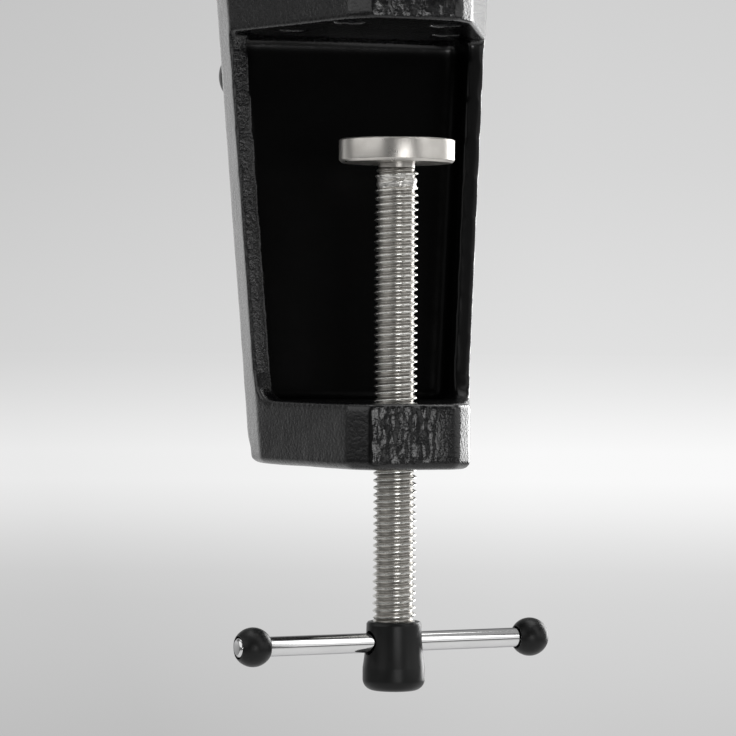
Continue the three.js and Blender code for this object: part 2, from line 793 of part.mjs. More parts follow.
// Clamp screw and pad, with heights from the table face
function clampPad() {
  const bore = screwTip + runningGap;
  const groove = ringGroove();
  const radius = padDiameter / 2;
  const floor = padTop - padWall;
  const faceEdge = chamfer / 2;
  return turned([
    [0, floor], [bore, floor], [bore, groove.top], [groove.outer, groove.top],
    [groove.outer, groove.bottom], [bore, groove.bottom], [bore, padBottom],
    [radius - chamfer, padBottom], [radius, padBottom + chamfer], [radius, padTop - faceEdge],
    [radius - faceEdge, padTop], [0, padTop],
  ], padSides);
}

// The snap ring's groove in the pad and in the screw's tip, and the wire between them
function ringGroove() {
  const middle = padBottom + ringRise;
  const room = ringWire / 2 + runningGap;
  const wireRadius = screwTip + runningGap / 2;
  return {
    middle, wireRadius, top: middle + room, bottom: middle - room,
    outer: wireRadius + room, inner: wireRadius - room,
  };
}

function snapRing() {
  const groove = ringGroove();
  return turned(arc([groove.wireRadius, groove.middle], ringWire / 2, 0, 360, 6), 16);
}

function clampScrew() {
  const groove = ringGroove();
  const tipTop = padTop - padWall - runningGap;
  const tip = turned([
    [0, threadTop - weld], [screwTip, threadTop - weld], [screwTip, groove.bottom],
    [groove.inner, groove.bottom], [groove.inner, groove.top], [screwTip, groove.top],
    [screwTip, tipTop - tipBevel], [screwTip - tipBevel, tipTop], [0, tipTop],
  ]);
  const threaded = thread(clampMajor, clampThreadDepth, clampPitch, clampThreadLength);
  const head = screwHead().rotateX(Math.PI);
  return join(threaded.translate(0, 0, clampMouth), tip, head.translate(0, 0, clampMouth + weld));
}

// A jaw seen along the screw: a foot, a waist and a head as wide as the plates
function jawFront(footHalf, foot, waistHalf, waist) {
  const half = jawWidth / 2;
  return [
    [-footHalf, foot, castingRound], [footHalf, foot, castingRound], [waistHalf, waist, bodyCorner],
    [half, bodyTop, bodyCorner], [half, jawTop, castingRound], [-half, jawTop, castingRound],
    [-half, bodyTop, bodyCorner], [-waistHalf, waist, bodyCorner],
  ];
}

// The vise body's castings, with reaches and heights from the ball centre
function slideHousing() {
  const front = jawFaceReach - faceSetback;
  const outline = [
    [-bodyBack, bodyBottom, bodyCorner], [front, bodyBottom, bodyCorner / 2],
    [front, bodyTop - castingEdge, jawPlateEdge], [-bodyBack, bodyTop, bodyCorner],
  ];
  return sidePrism(outline, -bodyWidth / 2, bodyWidth / 2, castingEdge);
}

function fixedJaw() {
  const back = fixedSeat - jawDepth;
  const front = jawFaceReach - faceSetback;
  const root = bodyTop - jawRise / 2;
  const side = [
    [back - jawFootSpread, root], [front, root], [front, plateStep], [fixedSeat, plateStep],
    [fixedSeat, jawTop, jawPlateEdge], [back + jawBackBevel, jawTop, bodyCorner],
    [back, jawTop - jawRise / 3, bodyCorner],
  ];
  const face = jawFront((bodyWidth - castingRound) / 2, root, bodyWidth / 2, root + jawWaistRise);
  const across = sidePrism(side, -jawWidth / 2, jawWidth / 2, castingEdge);
  return common(across, frontPrism(face, -bodyBack, jawFaceReach));
}

function anvil() {
  const half = anvilWidth / 2;
  const back = castingRound - bodyBack;
  const front = back + anvilLength;
  const plan = [
    [-half, back, castingRound], [half, back, castingRound],
    [half, front, castingRound], [-half, front, castingRound],
  ];
  return prism(plan, anvilRise + bodyCorner, castingEdge / 2).translate(0, 0, bodyTop - bodyCorner);
}

function viseBody() {
  const boss = rod(bossDiameter / 2, bodyBottom - bossDrop, bodyBottom + past);
  const tunnelSide = slideWidth / 2 + runningGap;
  const tunnelRise = [slideFloor, slideTop + runningGap];
  const tunnel = block([-tunnelSide, tunnelSide], [-2 * bodyBack, 2 * bodyBack], tunnelRise);
  const spigotHole = rod(stemSpigotDiameter / 2 + runningGap, bodyBottom - bossDrop - past, slideFloor + past);
  const shankHole = rod(nutShank / 2 + runningGap, bodyBottom - past, slideFloor + past);
  const setHole = alongY(rod(setScrewDiameter / 2 + runningGap, -bossDiameter, -past, smallSides));
  const whole = join(slideHousing(), fixedJaw(), boss, anvil());
  return cut(whole, tunnel, spigotHole, shankHole.translate(0, nutMiddle, 0),
    setHole.translate(0, 0, setScrewHeight), ...plateScrewHoles(fixedSeat, Math.PI));
}

// Blind holes for the jaw plate screws, into the casting from its seat
function plateScrewHoles(seat, turn) {
  const depth = plateScrewLength - jawPlateThickness + holeRunout;
  return [-1, 1].map((side) => {
    const hole = alongY(rod(plateScrewDiameter / 2 + runningGap, -past, depth, smallSides));
    return hole.rotateZ(turn).translate(side * plateScrewPlace, seat, plateMiddle);
  });
}

// A gripping plate with its face on reach 0 and its back towards +Y
function jawPlate() {
  const half = jawWidth / 2 - jawPlateInset;
  const top = plateBottom + jawPlateHeight;
  const outline = [
    [-half, plateBottom, jawPlateEdge], [half, plateBottom, jawPlateEdge],
    [half, top, jawPlateEdge], [-half, top, jawPlateEdge],
  ];
  const head = plateScrewHead / 2 + runningGap;
  const shank = plateScrewDiameter / 2 + runningGap;
  const back = jawPlateThickness + past;
  const profile = [
    [0, -past], [head, -past], [head, plateScrewSink], [shank, plateScrewSink + head - shank],
    [shank, back], [0, back],
  ];
  const holes = [-1, 1].map((side) => {
    const hole = alongY(turned(profile, smallSides));
    return hole.translate(side * plateScrewPlace, 0, plateMiddle);
  });
  return cut(frontPrism(outline, 0, jawPlateThickness, 0, 2), ...holes);
}

// The movable jaw's head, with its foot in front of the slide
function movableHead() {
  const front = movableSeat + movableDepth;
  const top = movableSeat + movableTopDepth;
  const ledge = movableFace + faceSetback;
  const side = [
    [ledge, slideTop + past], [movableSeat, slideTop + past], [movableSeat, movableBottom, bodyCorner / 2],
    [front, movableBottom, bodyCorner], [front, leadAxis + movableShoulder, movableBevel],
    [top, jawTop, bodyCorner], [movableSeat, jawTop, jawPlateEdge], [movableSeat, plateStep],
    [ledge, plateStep],
  ];
  const waist = movableBottom + movableWaistRise;
  const face = jawFront(movableFootWidth / 2, movableBottom, movableWaistWidth / 2, waist);
  const across = sidePrism(side, -jawWidth / 2, jawWidth / 2, castingEdge);
  return common(across, frontPrism(face, 0, front + past));
}

function slide() {
  const half = slideWidth / 2;
  const bottom = slideFloor + runningGap;
  const outline = [
    [-half, bottom], [half, bottom], [half, slideTop, slideCorner], [-half, slideTop, slideCorner],
  ];
  return frontPrism(outline, slideEnd, movableSeat + 2 * past, 0, 2);
}

function movableJaw() {
  const front = movableSeat + movableDepth;
  const inner = slideWidth / 2 - slideWall;
  const hollowRise = [movableBottom - past, slideTop - slideRoof];
  const hollow = block([-inner, inner], [slideEnd - past, movableSeat], hollowRise);
  const journal = alongY(rod(leadJournal / 2 + runningGap, movableSeat - past, front + past));
  return cut(join(movableHead(), slide()), hollow, journal.translate(0, 0, leadAxis),
    ...plateScrewHoles(movableSeat, 0));
}

// Nut block inside the slide, with its shank through the body's floor
function leadNut() {
  const half = slideWidth / 2 - slideWall - runningGap;
  const top = slideTop - slideRoof - 2 * runningGap;
  const nut = block([-half, half], [-nutLength / 2, nutLength / 2], [slideFloor, top]);
  const shank = rod(nutShank / 2, bodyBottom + nutShankRecess, slideFloor + weld);
  const bore = alongY(rod(leadMajor / 2 + runningGap, -nutLength, nutLength));
  const screwEnd = bodyBottom + bodyFloor - 2 * nutShankRecess;
  const tapped = rod(nutScrewDiameter / 2 + runningGap, bodyBottom, screwEnd + holeRunout, smallSides);
  return cut(join(nut, shank), bore.translate(0, 0, leadAxis), tapped);
}

function leadScrew() {
  const tail = slideEnd - leadTail;
  const threadEnd = movableSeat - collarLength - past;
  const threaded = thread(leadMajor, leadThreadDepth, leadPitch, threadEnd - tail);
  const journal = rod(leadJournal / 2, threadEnd - past, leadMouth + weld);
  const pinHole = alongX(rod(collarPinDiameter / 2 + runningGap, -leadMajor, leadMajor, smallSides));
  const whole = join(threaded.translate(0, 0, tail), journal, screwHead().translate(0, 0, leadMouth));
  return cut(whole, pinHole.translate(0, 0, collarMiddle));
}

function leadCollar() {
  const bore = leadJournal / 2 + runningGap;
  const outer = collarDiameter / 2;
  const end = collarLength / 2;
  const start = [bore, -end];
  const ring = turned([start, [outer, -end], [outer, end], [bore, end], start]);
  return cut(ring, alongX(rod(collarPinDiameter / 2 + runningGap, -outer - past, outer + past, smallSides)));
}

function collarPin() {
  const half = collarDiameter / 2 - collarPinSink;
  return alongX(chamferedRod(collarPinDiameter / 2, -half, half, screwEdge * collarPinDiameter, smallSides));
}

// The object, as groups that hang on each other
function piece(name, geometry, material) {
  const mesh = new THREE.Mesh(geometry, material);
  mesh.name = name;
  return mesh;
}

function place(object, x, y, z) {
  object.position.set(x, y, z);
  return object;
}

function turn(object, x, y, z) {
  object.rotation.set(x, y, z);
  return object;
}

function group(...children) {
  return new THREE.Group().add(...children);
}

// Sleeve, bar and balls of a screw, along +Z from the sleeve's mouth
function handle(name) {
  const bar = group(
    piece(`${name}_tommy_bar`, tommyBar(), chrome),
    place(piece(`${name}_bar_ball_left`, barBall(), blackPlastic), -barSpacing / 2, 0, 0),
    place(piece(`${name}_bar_ball_right`, barBall(), blackPlastic), barSpacing / 2, 0, 0),
  );
  return group(piece(`${name}_screw_sleeve`, sleeve(), blackPlastic), place(bar, 0, 0, barOffset));
}

function tableClamp() {
  const clampHandle = turn(handle('clamp'), 0, Math.PI, Math.PI);
  const screw = group(
    piece('clamp_screw', clampScrew(), zincSteel),
    place(clampHandle, 0, 0, clampMouth),
  );
  return group(
    piece('clamp_frame', clampFrame(), enamel),
    piece('clamp_pad', clampPad(), turnedSteel),
    piece('pad_snap_ring', snapRing(), darkSteel),
    turn(screw, 0, 0, barTurn),
  );
}

function lock() {
  const hole = lockDiameter / 2 + runningGap;
  const lever = group(
    piece('lock_lever', lockLever(), chrome),
    place(piece('lock_lever_knob', leverKnobPiece(), blackPlastic), 0, 0, leverLength),
  );
  const nut = piece('lock_nut', hexNut(lockNutWidth, lockNutThickness, hole), zincSteel);
  const flat = piece('lock_washer', washer(lockWasherDiameter / 2, hole, lockWasherThickness), zincSteel);
  return group(
    piece('lock_screw', lockScrew(), zincSteel),
    place(turn(nut, 0, Math.PI / 2, 0), earFace, 0, 0),
    place(turn(flat, 0, Math.PI / 2, 0), -hubFace, 0, 0),
    place(turn(lever, leverAngle - Math.PI / 2, 0, 0), -hubFace - lockHubLength / 2, 0, 0),
  );
}

function ballJoint() {
  const screws = footScrewPlaces().map(([x, y], i) => {
    const screw = piece(`socket_screw_${i + 1}`, capScrew(footScrewDiameter, footScrewLength), darkSteel);
    return place(turn(screw, Math.PI, 0, 0), x, y - jointReach, footHeadSeat - jointHeight);
  });
  return group(
    piece('socket_body', socketBody(), enamel),
    piece('ball_seat', ballSeat(), nylon),
    piece('ball', jointBallPiece(), chrome),
    ...screws,
    place(lock(), 0, lockReach, -lockDrop),
  );
}

function plateScrews(first, reach, angle) {
  return [-1, 1].map((side, i) => {
    const length = plateScrewLength - plateScrewSink;
    const shape = countersunkScrew(plateScrewDiameter, plateScrewHead, length);
    const screw = piece(`jaw_plate_screw_${first + i}`, shape, darkSteel);
    return place(turn(screw, angle, 0, 0), side * plateScrewPlace, reach, plateMiddle);
  });
}

// The fixed half of the vise head: stem, body, jaw plate and lead nut
function fixedHalf() {
  const plate = piece('fixed_jaw_plate', jawPlate(), turnedSteel);
  const set = piece('stem_set_screw', setScrew(), darkSteel);
  const washerBottom = bodyBottom - nutWasherThickness;
  const nutScrewLength = bodyFloor - 2 * nutShankRecess + nutWasherThickness;
  const nutScrew = piece('lead_nut_screw', capScrew(nutScrewDiameter, nutScrewLength), darkSteel);
  const hole = nutScrewDiameter / 2 + runningGap;
  const nutRing = washer(nutWasherDiameter / 2, hole, nutWasherThickness);
  const nutWasher = piece('lead_nut_washer', nutRing, zincSteel);
  return group(
    piece('ball_stem', ballStem(), turnedSteel),
    piece('vise_body', viseBody(), enamel),
    place(turn(set, Math.PI / 2, 0, 0), 0, -stemSpigotDiameter / 2 - runningGap, setScrewHeight),
    place(turn(plate, 0, 0, Math.PI), 0, jawFaceReach, 0),
    ...plateScrews(1, jawFaceReach - plateScrewSink, -Math.PI / 2),
    place(piece('lead_nut', leadNut(), brass), 0, nutMiddle, 0),
    place(turn(nutScrew, Math.PI, 0, 0), 0, nutMiddle, washerBottom),
    place(nutWasher, 0, nutMiddle, washerBottom),
  );
}

// The moving half: jaw, its plate, and the lead screw with its collar and handle
function movingHalf() {
  const collar = group(
    piece('lead_screw_collar', leadCollar(), zincSteel),
    piece('collar_pin', collarPin(), darkSteel),
  );
  const screw = group(
    piece('lead_screw', leadScrew(), zincSteel),
    place(collar, 0, 0, collarMiddle),
    place(handle('vise'), 0, 0, leadMouth),
  );
  const ring = washer(washerDiameter / 2, leadJournal / 2 + runningGap, washerThickness);
  const thrust = turn(piece('thrust_washer', ring, zincSteel), -Math.PI / 2, 0, 0);
  return group(
    piece('movable_jaw', movableJaw(), enamel),
    place(piece('movable_jaw_plate', jawPlate(), turnedSteel), 0, movableFace, 0),
    ...plateScrews(3, movableFace + plateScrewSink, Math.PI / 2),
    place(thrust, 0, movableSeat + movableDepth, leadAxis),
    place(turn(screw, -Math.PI / 2, 0, 0), 0, 0, leadAxis),
  );
}

const vise = group(
  tableClamp(),
  place(ballJoint(), 0, jointReach, jointHeight),
  place(group(fixedHalf(), movingHalf()), 0, jointReach, jointHeight),
);

export default vise;
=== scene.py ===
# Clamp-on vise on a ball joint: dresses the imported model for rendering.
# Lengths in the dictionaries are millimetres where nothing else is said, and meshes are metres.
import json
import math
from functools import partial
import bmesh
import bpy
import numpy as np
from mathutils import Matrix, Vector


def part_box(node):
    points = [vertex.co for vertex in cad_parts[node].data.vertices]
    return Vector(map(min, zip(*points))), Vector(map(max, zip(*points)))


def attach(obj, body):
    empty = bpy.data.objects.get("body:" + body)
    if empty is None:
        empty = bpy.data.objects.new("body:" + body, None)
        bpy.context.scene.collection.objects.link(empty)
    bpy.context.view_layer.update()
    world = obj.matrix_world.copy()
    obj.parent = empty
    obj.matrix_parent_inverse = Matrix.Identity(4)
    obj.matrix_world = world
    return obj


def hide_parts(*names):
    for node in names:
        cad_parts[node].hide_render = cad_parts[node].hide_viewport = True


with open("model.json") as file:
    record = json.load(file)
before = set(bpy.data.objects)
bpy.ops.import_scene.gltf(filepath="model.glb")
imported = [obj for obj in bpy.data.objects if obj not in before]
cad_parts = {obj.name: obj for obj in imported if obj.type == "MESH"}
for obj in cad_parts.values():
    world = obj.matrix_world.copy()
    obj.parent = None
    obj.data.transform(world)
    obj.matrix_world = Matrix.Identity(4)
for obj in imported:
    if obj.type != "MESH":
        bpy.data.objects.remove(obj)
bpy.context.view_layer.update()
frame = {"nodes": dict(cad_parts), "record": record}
nodes = frame["nodes"]
millimetre = 0.001
upright = (0.0, 0.0, 0.0)  # the turn of an axis that already stands along Z
bodies = frame["record"]["behaviour"]["bodies"]
bodyOf = {node: body for body, members in bodies.items() for node in members}
print("frame loaded:", len(nodes), "nodes")


def linearColour(text):
    # sRGB to linear: c / 12.92 in the darks, otherwise ((c + 0.055) / 1.055) to the power 2.4
    shown = np.array([int(text[i:i + 2], 16) for i in (1, 3, 5)]) / 255
    linear = np.where(shown <= 0.04045, shown / 12.92, ((shown + 0.055) / 1.055) ** 2.4)
    return (*linear.tolist(), 1.0)


def addNode(tree, kind, inputs=None, stops=None, **settings):
    # Settings are the shader node's own properties. Inputs are its sockets, each given a value, a hex
    # colour, a node whose first output is linked, or one output. Stops are a colour ramp's shades.
    node = tree.nodes.new("ShaderNode" + kind)
    for name, value in settings.items():
        setattr(node, name, value)
    for name, value in (inputs or {}).items():
        if isinstance(value, bpy.types.Node):
            value = value.outputs[0]
        if isinstance(value, bpy.types.NodeSocket):
            tree.links.new(value, node.inputs[name])
        else:
            node.inputs[name].default_value = linearColour(value) if isinstance(value, str) else value
    if stops:
        steps = node.color_ramp.elements
        for place in list(stops)[1:-1]:
            steps.new(place)
        for step, (place, shade) in zip(steps, stops.items()):
            step.position, step.color = place, linearColour(shade)
    return node


def clearedTree(owner):
    # The empty node tree of a new material or world
    owner.use_nodes = True
    owner.node_tree.nodes.clear()
    return owner.node_tree


def newObject(name, data):
    # An object in the scene that shows the data
    item = bpy.data.objects.new(name, data)
    bpy.context.scene.collection.objects.link(item)
    return item


def startFinish(name):
    # A new material, and the piece's own coordinates in millimetres
    finish = bpy.data.materials.new(name)
    tree = clearedTree(finish)
    coordinates = addNode(tree, "TexCoord")
    place = addNode(tree, "VectorMath",
                    {0: coordinates.outputs["Object"], "Scale": 1 / millimetre}, operation="SCALE")
    return finish, tree, place


def endFinish(finish, sockets):
    # The shader comes last, when all that feeds it is there
    shader = addNode(finish.node_tree, "BsdfPrincipled", sockets)
    addNode(finish.node_tree, "OutputMaterial", {"Surface": shader})
    return finish


def span(ends, side="To"):
    # The two sockets that set a range
    return {side + " Min": ends[0], side + " Max": ends[1]}


noiseSpan = span((0.3, 0.7), "From")  # where most of a noise's values lie
enamel = {
    # The third colour is a near black, painted as shade in the channel, the right flange's inside and
    # by the arm's facet
    "black": "#060607", "edgeAndCrestLight": "#1f1f20", "pocket": "#020202", "ior": 1.5,
    "hammer": 1.55, "squeeze": 0.5, "slant": 0.08, "waver": 0.35, "hammerHeight": 0.42,
    "fine": 0.7, "fineHeight": 0.3, "patch": 24.0,
    "hammerShare": (0.015, 1.0),  # of its bump, on plain skin and on hammered
    "sandyShare": 0.34, "coatFill": (1.1, -0.04),  # what the top layer leaves of the fine bump
    # The edge span is where pointiness starts and fills a grey painted on convex edges as a highlight
    "rough": (0.22, 0.36), "pocketRough": 0.3, "edgeHighlightSpan": (0.52, 0.6),
    # In the open, and in the shaded pocket, whose darker colour is painted shade
    "pocketed": {"fine": (0.32, 0.04), "coat": (0.9, 0.07), "haze": (0.12, 0.26),
                 "under": (0.15, 0.03)},
}


def grainedEnamel(spec):
    # Black enamel brushed over a sand casting. The piece's own skin attribute says where: X is the
    # hammered skin,
    #     # drawn downwards, Y the sandy flange fronts, and Z a pocket of painted shade, where the
    #     enamel is painted near
    #     # black and is also dull and smooth. A clear top layer makes the rest glossy, and convex edges
    #     get a painted highlight.
    finish, tree, place = startFinish("grainedEnamelOnIron")
    skin = addNode(tree, "Attribute", attribute_name="skin")
    where = addNode(tree, "SeparateXYZ", {"Vector": skin.outputs["Vector"]})
    hammered, sandy, pocket = (where.outputs[name] for name in "XYZ")
    byShadedPocket = {name: addNode(tree, "MapRange", {"Value": pocket, **span(ends)})
                for name, ends in spec["pocketed"].items()}
    run = addNode(tree, "Mapping", {"Vector": place, "Rotation": (0.0, spec["slant"], 0.0),
                  "Scale": (1.0, 1.0, 1 / spec["squeeze"])}, vector_type="TEXTURE")
    hammer = addNode(tree, "TexNoise", {"Vector": run, "Scale": 1 / spec["hammer"],
                     "Detail": 0.0, "Distortion": spec["waver"]})
    fine = addNode(tree, "TexNoise", {"Vector": place, "Scale": 1 / spec["fine"],
                   "Detail": 3.0, "Roughness": 0.6})
    patch = addNode(tree, "TexNoise", {"Vector": place, "Scale": 1 / spec["patch"],
                    "Detail": 4.0, "Roughness": 0.6})
    amount = addNode(tree, "MapRange", {"Value": hammered, **span(spec["hammerShare"])})
    grit = addNode(tree, "Math", {0: sandy, 1: spec["sandyShare"], 2: byShadedPocket["fine"]},
                   operation="MULTIPLY_ADD")
    filled = addNode(tree, "Math", {0: grit, 1: spec["coatFill"][0], 2: spec["coatFill"][1]},
                     operation="MULTIPLY_ADD", use_clamp=True)
    hammerBump = addNode(tree, "Bump", {"Height": hammer, "Strength": amount,
                         "Distance": spec["hammerHeight"] * millimetre})
    fineBump, coatBump = (addNode(tree, "Bump", {"Height": fine, "Strength": share,
                          "Distance": spec["fineHeight"] * millimetre, "Normal": hammerBump})
                          for share in (grit, filled))
    # Painted highlight: convex edges, found by pointiness, are lightened to grey in patches
    pointed = addNode(tree, "NewGeometry").outputs["Pointiness"]
    edge = addNode(tree, "MapRange", {"Value": pointed, **span(spec["edgeHighlightSpan"], "From")})
    paintedEdgeHighlight = addNode(tree, "Math", {0: edge, 1: patch}, operation="MULTIPLY")
    tint = addNode(tree, "MixRGB", {"Fac": paintedEdgeHighlight, "Color1": spec["black"], "Color2": spec["edgeAndCrestLight"]})
    # Painted shade: the pocket share darkens the colour to near black
    deep = addNode(tree, "MixRGB", {"Fac": pocket, "Color1": tint, "Color2": spec["pocket"]})
    gloss = addNode(tree, "MapRange", {"Value": fine, **noiseSpan, **span(spec["rough"])})
    dulled = addNode(tree, "Math", {0: pocket, 1: spec["pocketRough"], 2: gloss},
                     operation="MULTIPLY_ADD")
    return endFinish(finish, {
        "Base Color": deep, "Roughness": dulled, "IOR": spec["ior"], "Normal": fineBump,
        "Specular IOR Level": byShadedPocket["under"], "Coat Weight": byShadedPocket["coat"],
        "Coat Roughness": byShadedPocket["haze"], "Coat IOR": spec["ior"], "Coat Normal": coatBump})


def axisRings(tree, place, centre, turn):
    # Radius from an axis and height along it, in millimetres: the axis is moved to the origin and
    # turned to Z, then the radius is the length of the vector without its height.
    moved = addNode(tree, "VectorMath", {0: place, 1: centre}, operation="SUBTRACT")
    stood = addNode(tree, "VectorRotate", {"Vector": moved, "Rotation": turn},
                    rotation_type="EULER_XYZ")
    parts = addNode(tree, "SeparateXYZ", {"Vector": stood}).outputs
    flat = addNode(tree, "CombineXYZ", {"X": parts["X"], "Y": parts["Y"]})
    radius = addNode(tree, "VectorMath", {0: flat}, operation="LENGTH")
    return radius.outputs["Value"], parts["Z"]


def clouded(tree, share, tones, rough, within=noiseSpan):
    # The colour and the roughness that a share mixes from two tones and two values
    tint = addNode(tree, "MixRGB", {"Fac": share, "Color1": tones[0], "Color2": tones[1]})
    gloss = addNode(tree, "MapRange", {"Value": share, **within, **span(rough)})
    return {"Base Color": tint, "Roughness": gloss}


turned = {"tones": ("#e0ddd8", "#c2beb8"), "rough": (0.26, 0.38), "stain": 5.0,
          "ring": 0.22, "ringHeight": 0.05, "ringShare": 0.16}


def turnedSteel(name, centre, spec=turned):
    # Bare steel turned on a lathe: tool rings about its upright axis, coarser than real ones so that
    # they show, warm grey, with slight stains
    finish, tree, place = startFinish(name)
    radius, height = axisRings(tree, place, centre, upright)
    across = addNode(tree, "CombineXYZ", {"X": radius, "Y": height})
    rings = addNode(tree, "TexNoise", {"Vector": across, "Scale": 1 / spec["ring"], "Detail": 2.0,
                    "Roughness": 0.6}, noise_dimensions="2D")
    stain = addNode(tree, "TexNoise", {"Vector": place, "Scale": 1 / spec["stain"], "Detail": 5.0,
                    "Roughness": 0.65})
    bump = addNode(tree, "Bump", {"Height": rings, "Strength": spec["ringShare"],
                   "Distance": spec["ringHeight"] * millimetre})
    return endFinish(finish, {"Metallic": 1.0, "Normal": bump,
                              **clouded(tree, stain, spec["tones"], spec["rough"])})


rolled = {"tones": ("#bfbcb7", "#ecebe7"), "rough": (0.36, 0.26), "stain": 1.6,
          "mottle": {"From Min": 0.35, "From Max": 0.7, "To Min": 1.0, "To Max": 0.72},
          "grainHeight": 0.05, "grainShare": 0.3}


def rolledZinc(name, centre, turn, ends, spec=rolled):
    # Zinc plate over a rolled thread, slightly warm: the colour is painted paler on the crests as a
    # highlight and
    #     # greyer in the roots as shade, and the crests are smoother, polished by use. ends are the
    #     root's and the crest's radii.
    finish, tree, place = startFinish(name)
    radius = axisRings(tree, place, centre, turn)[0]
    edgeAndCrestLight = addNode(tree, "MapRange", {"Value": radius, **span(ends, "From")})
    stain = addNode(tree, "TexNoise", {"Vector": place, "Scale": 1 / spec["stain"], "Detail": 5.0,
                    "Roughness": 0.7})
    # Painted highlight and shade: pale at the crests, grey in the roots
    skin = clouded(tree, edgeAndCrestLight, spec["tones"], spec["rough"], {})
    mottle = addNode(tree, "MapRange", {"Value": stain, **spec["mottle"]})
    shade = addNode(tree, "VectorMath", {0: skin["Base Color"], "Scale": mottle}, operation="SCALE")
    bump = addNode(tree, "Bump", {"Height": stain, "Strength": spec["grainShare"],
                   "Distance": spec["grainHeight"] * millimetre})
    return endFinish(finish, {**skin, "Metallic": 1.0, "Base Color": shade, "Normal": bump})


metal = {"fine": {"Detail": 4.0, "Roughness": 0.65}, "cloud": {"Scale": 1 / 6.0, "Detail": 4.0},
         "grainShare": 0.3, "sockets": {"Metallic": 1.0}}
# Injection-moulded: a fine spark-eroded grain and dull, handled patches
plastic = {"fine": {"Detail": 2.0}, "cloud": {"Scale": 1 / 7.0, "Detail": 5.0, "Roughness": 0.6},
           "grainShare": 0.25, "sockets": {"IOR": 1.5, "Specular IOR Level": 0.3}}


def smoothSkin(name, kind, tones, rough, grain, height, stretch=(1.0, 1.0, 1.0), slanting="#ffffff"):
    # A skin with cloudy tone and gloss, and a grain of a given size that may run one way. slanting is
    # what a metal still reflects when it is seen at a slant.
    finish, tree, place = startFinish(name)
    run = addNode(tree, "Mapping", {"Vector": place, "Scale": stretch})
    fine = addNode(tree, "TexNoise", {"Vector": run, "Scale": 1 / grain, **kind["fine"]})
    cloud = addNode(tree, "TexNoise", {"Vector": place, **kind["cloud"]})
    bump = addNode(tree, "Bump", {"Height": fine, "Strength": kind["grainShare"],
                   "Distance": height * millimetre})
    return endFinish(finish, {**kind["sockets"], "Specular Tint": slanting, "Normal": bump,
                              **clouded(tree, cloud, tones, rough)})


ballCentre = np.array([0.0, 15.0, 36.0])
leadAxisPlace = (0.0, 0.0, 82.0)
metals = {
    "groundHardenedSteel": {  # flat grey, with fine grinding lines along the jaws
        "tones": ("#b4b0aa", "#8f8b85"), "rough": (0.24, 0.36), "grain": 0.3, "height": 0.04,
        "stretch": (0.06, 1.0, 1.0)},
    "zincPlatedSteel": {  # a pale, slightly warm shine
        "tones": ("#c4c0b9", "#96928b"), "rough": (0.24, 0.38), "grain": 0.5, "height": 0.05},
    "polishedChrome": {  # a mirror that is greyer at a slant
        "tones": ("#ececec", "#dedede"), "rough": (0.05, 0.09), "grain": 0.25, "height": 0.006,
        "stretch": (0.15, 1.0, 1.0), "slanting": "#a8a8aa"},
    "blackOxideSteel": {  # a dark, oily satin
        "tones": ("#3b3b3e", "#26262a"), "rough": (0.36, 0.5), "grain": 0.4, "height": 0.06},
    "machinedBrass": {  # yellow with a dull shine
        "tones": ("#c39a58", "#9c7840"), "rough": (0.26, 0.4), "grain": 0.3, "height": 0.04},
}
plastics = {
    "satinBlackPlastic": {  # deep black with a soft sheen
        "tones": ("#050505", "#0c0d0d"), "rough": (0.3, 0.42), "grain": 0.3, "height": 0.06},
    "naturalNylon": {  # milky and nearly matt
        "tones": ("#e2dccb", "#d3ccb8"), "rough": (0.42, 0.55), "grain": 0.5, "height": 0.06},
}
finishes = {name: smoothSkin(name, metal, **spec) for name, spec in metals.items()}
finishes |= {name: smoothSkin(name, plastic, **spec) for name, spec in plastics.items()}
finishes["enamel"] = grainedEnamel(enamel)
finishes["pad"] = turnedSteel("turnedSteelPad", (0.0, 0.0, 0.0))
finishes["stem"] = turnedSteel("turnedSteelStem", (0.0, 15.0, 0.0))
finishes["clampThread"] = rolledZinc("zincPlatedClampThread", (0.0, 0.0, 0.0), upright, (3.9, 4.7))
leadTurn = (math.pi / 2, 0.0, 0.0)
finishes["leadThread"] = rolledZinc("zincPlatedLeadThread", leadAxisPlace, leadTurn, (3.9, 4.9))
print("finishes made:", len(finishes))


def merged(mesh, outwards=False):
    # Doubled points become one, and the faces may be turned outwards
    shape = bmesh.new()
    shape.from_mesh(mesh)
    bmesh.ops.remove_doubles(shape, verts=shape.verts, dist=0.002 * millimetre)
    if outwards:
        bmesh.ops.recalc_face_normals(shape, faces=shape.faces)
    shape.to_mesh(mesh)
    shape.free()
    return mesh


def smoothShaded(mesh, angle=35.0):
    # Smooth everywhere but over edges sharper than the angle, if one is given
    mesh.polygons.foreach_set("use_smooth", np.ones(len(mesh.polygons), dtype=bool))
    if angle:
        mesh.set_sharp_from_angle(angle=math.radians(angle))
    return mesh


def gridMesh(name, points):
    # points is rows by columns by 3 in millimetres, and its last column repeats the first. Four
    # neighbours make a face, and doubled points are merged.
    rows, columns = points.shape[:2]
    row, column = np.meshgrid(np.arange(rows - 1), np.arange(columns - 1), indexing="ij")
    first = (row * columns + column).ravel()
    faces = np.stack([first, first + 1, first + columns + 1, first + columns], axis=1)
    mesh = bpy.data.meshes.new(name)
    mesh.vertices.add(rows * columns)
    mesh.vertices.foreach_set("co", (points.reshape(-1, 3) * millimetre).ravel())
    mesh.loops.add(faces.size)
    mesh.loops.foreach_set("vertex_index", faces.ravel())
    mesh.polygons.add(len(faces))
    mesh.polygons.foreach_set("loop_start", np.arange(0, faces.size, 4))
    mesh.update(calc_edges=True)
    return smoothShaded(merged(mesh, outwards=True))


def withSix(profile):
    # Rows of radius and height get a third number, which is 1 where a ring has six sides and here 0
    profile = np.asarray(profile, float)
    return profile if profile.shape[1] == 3 else np.column_stack([profile, np.zeros(len(profile))])


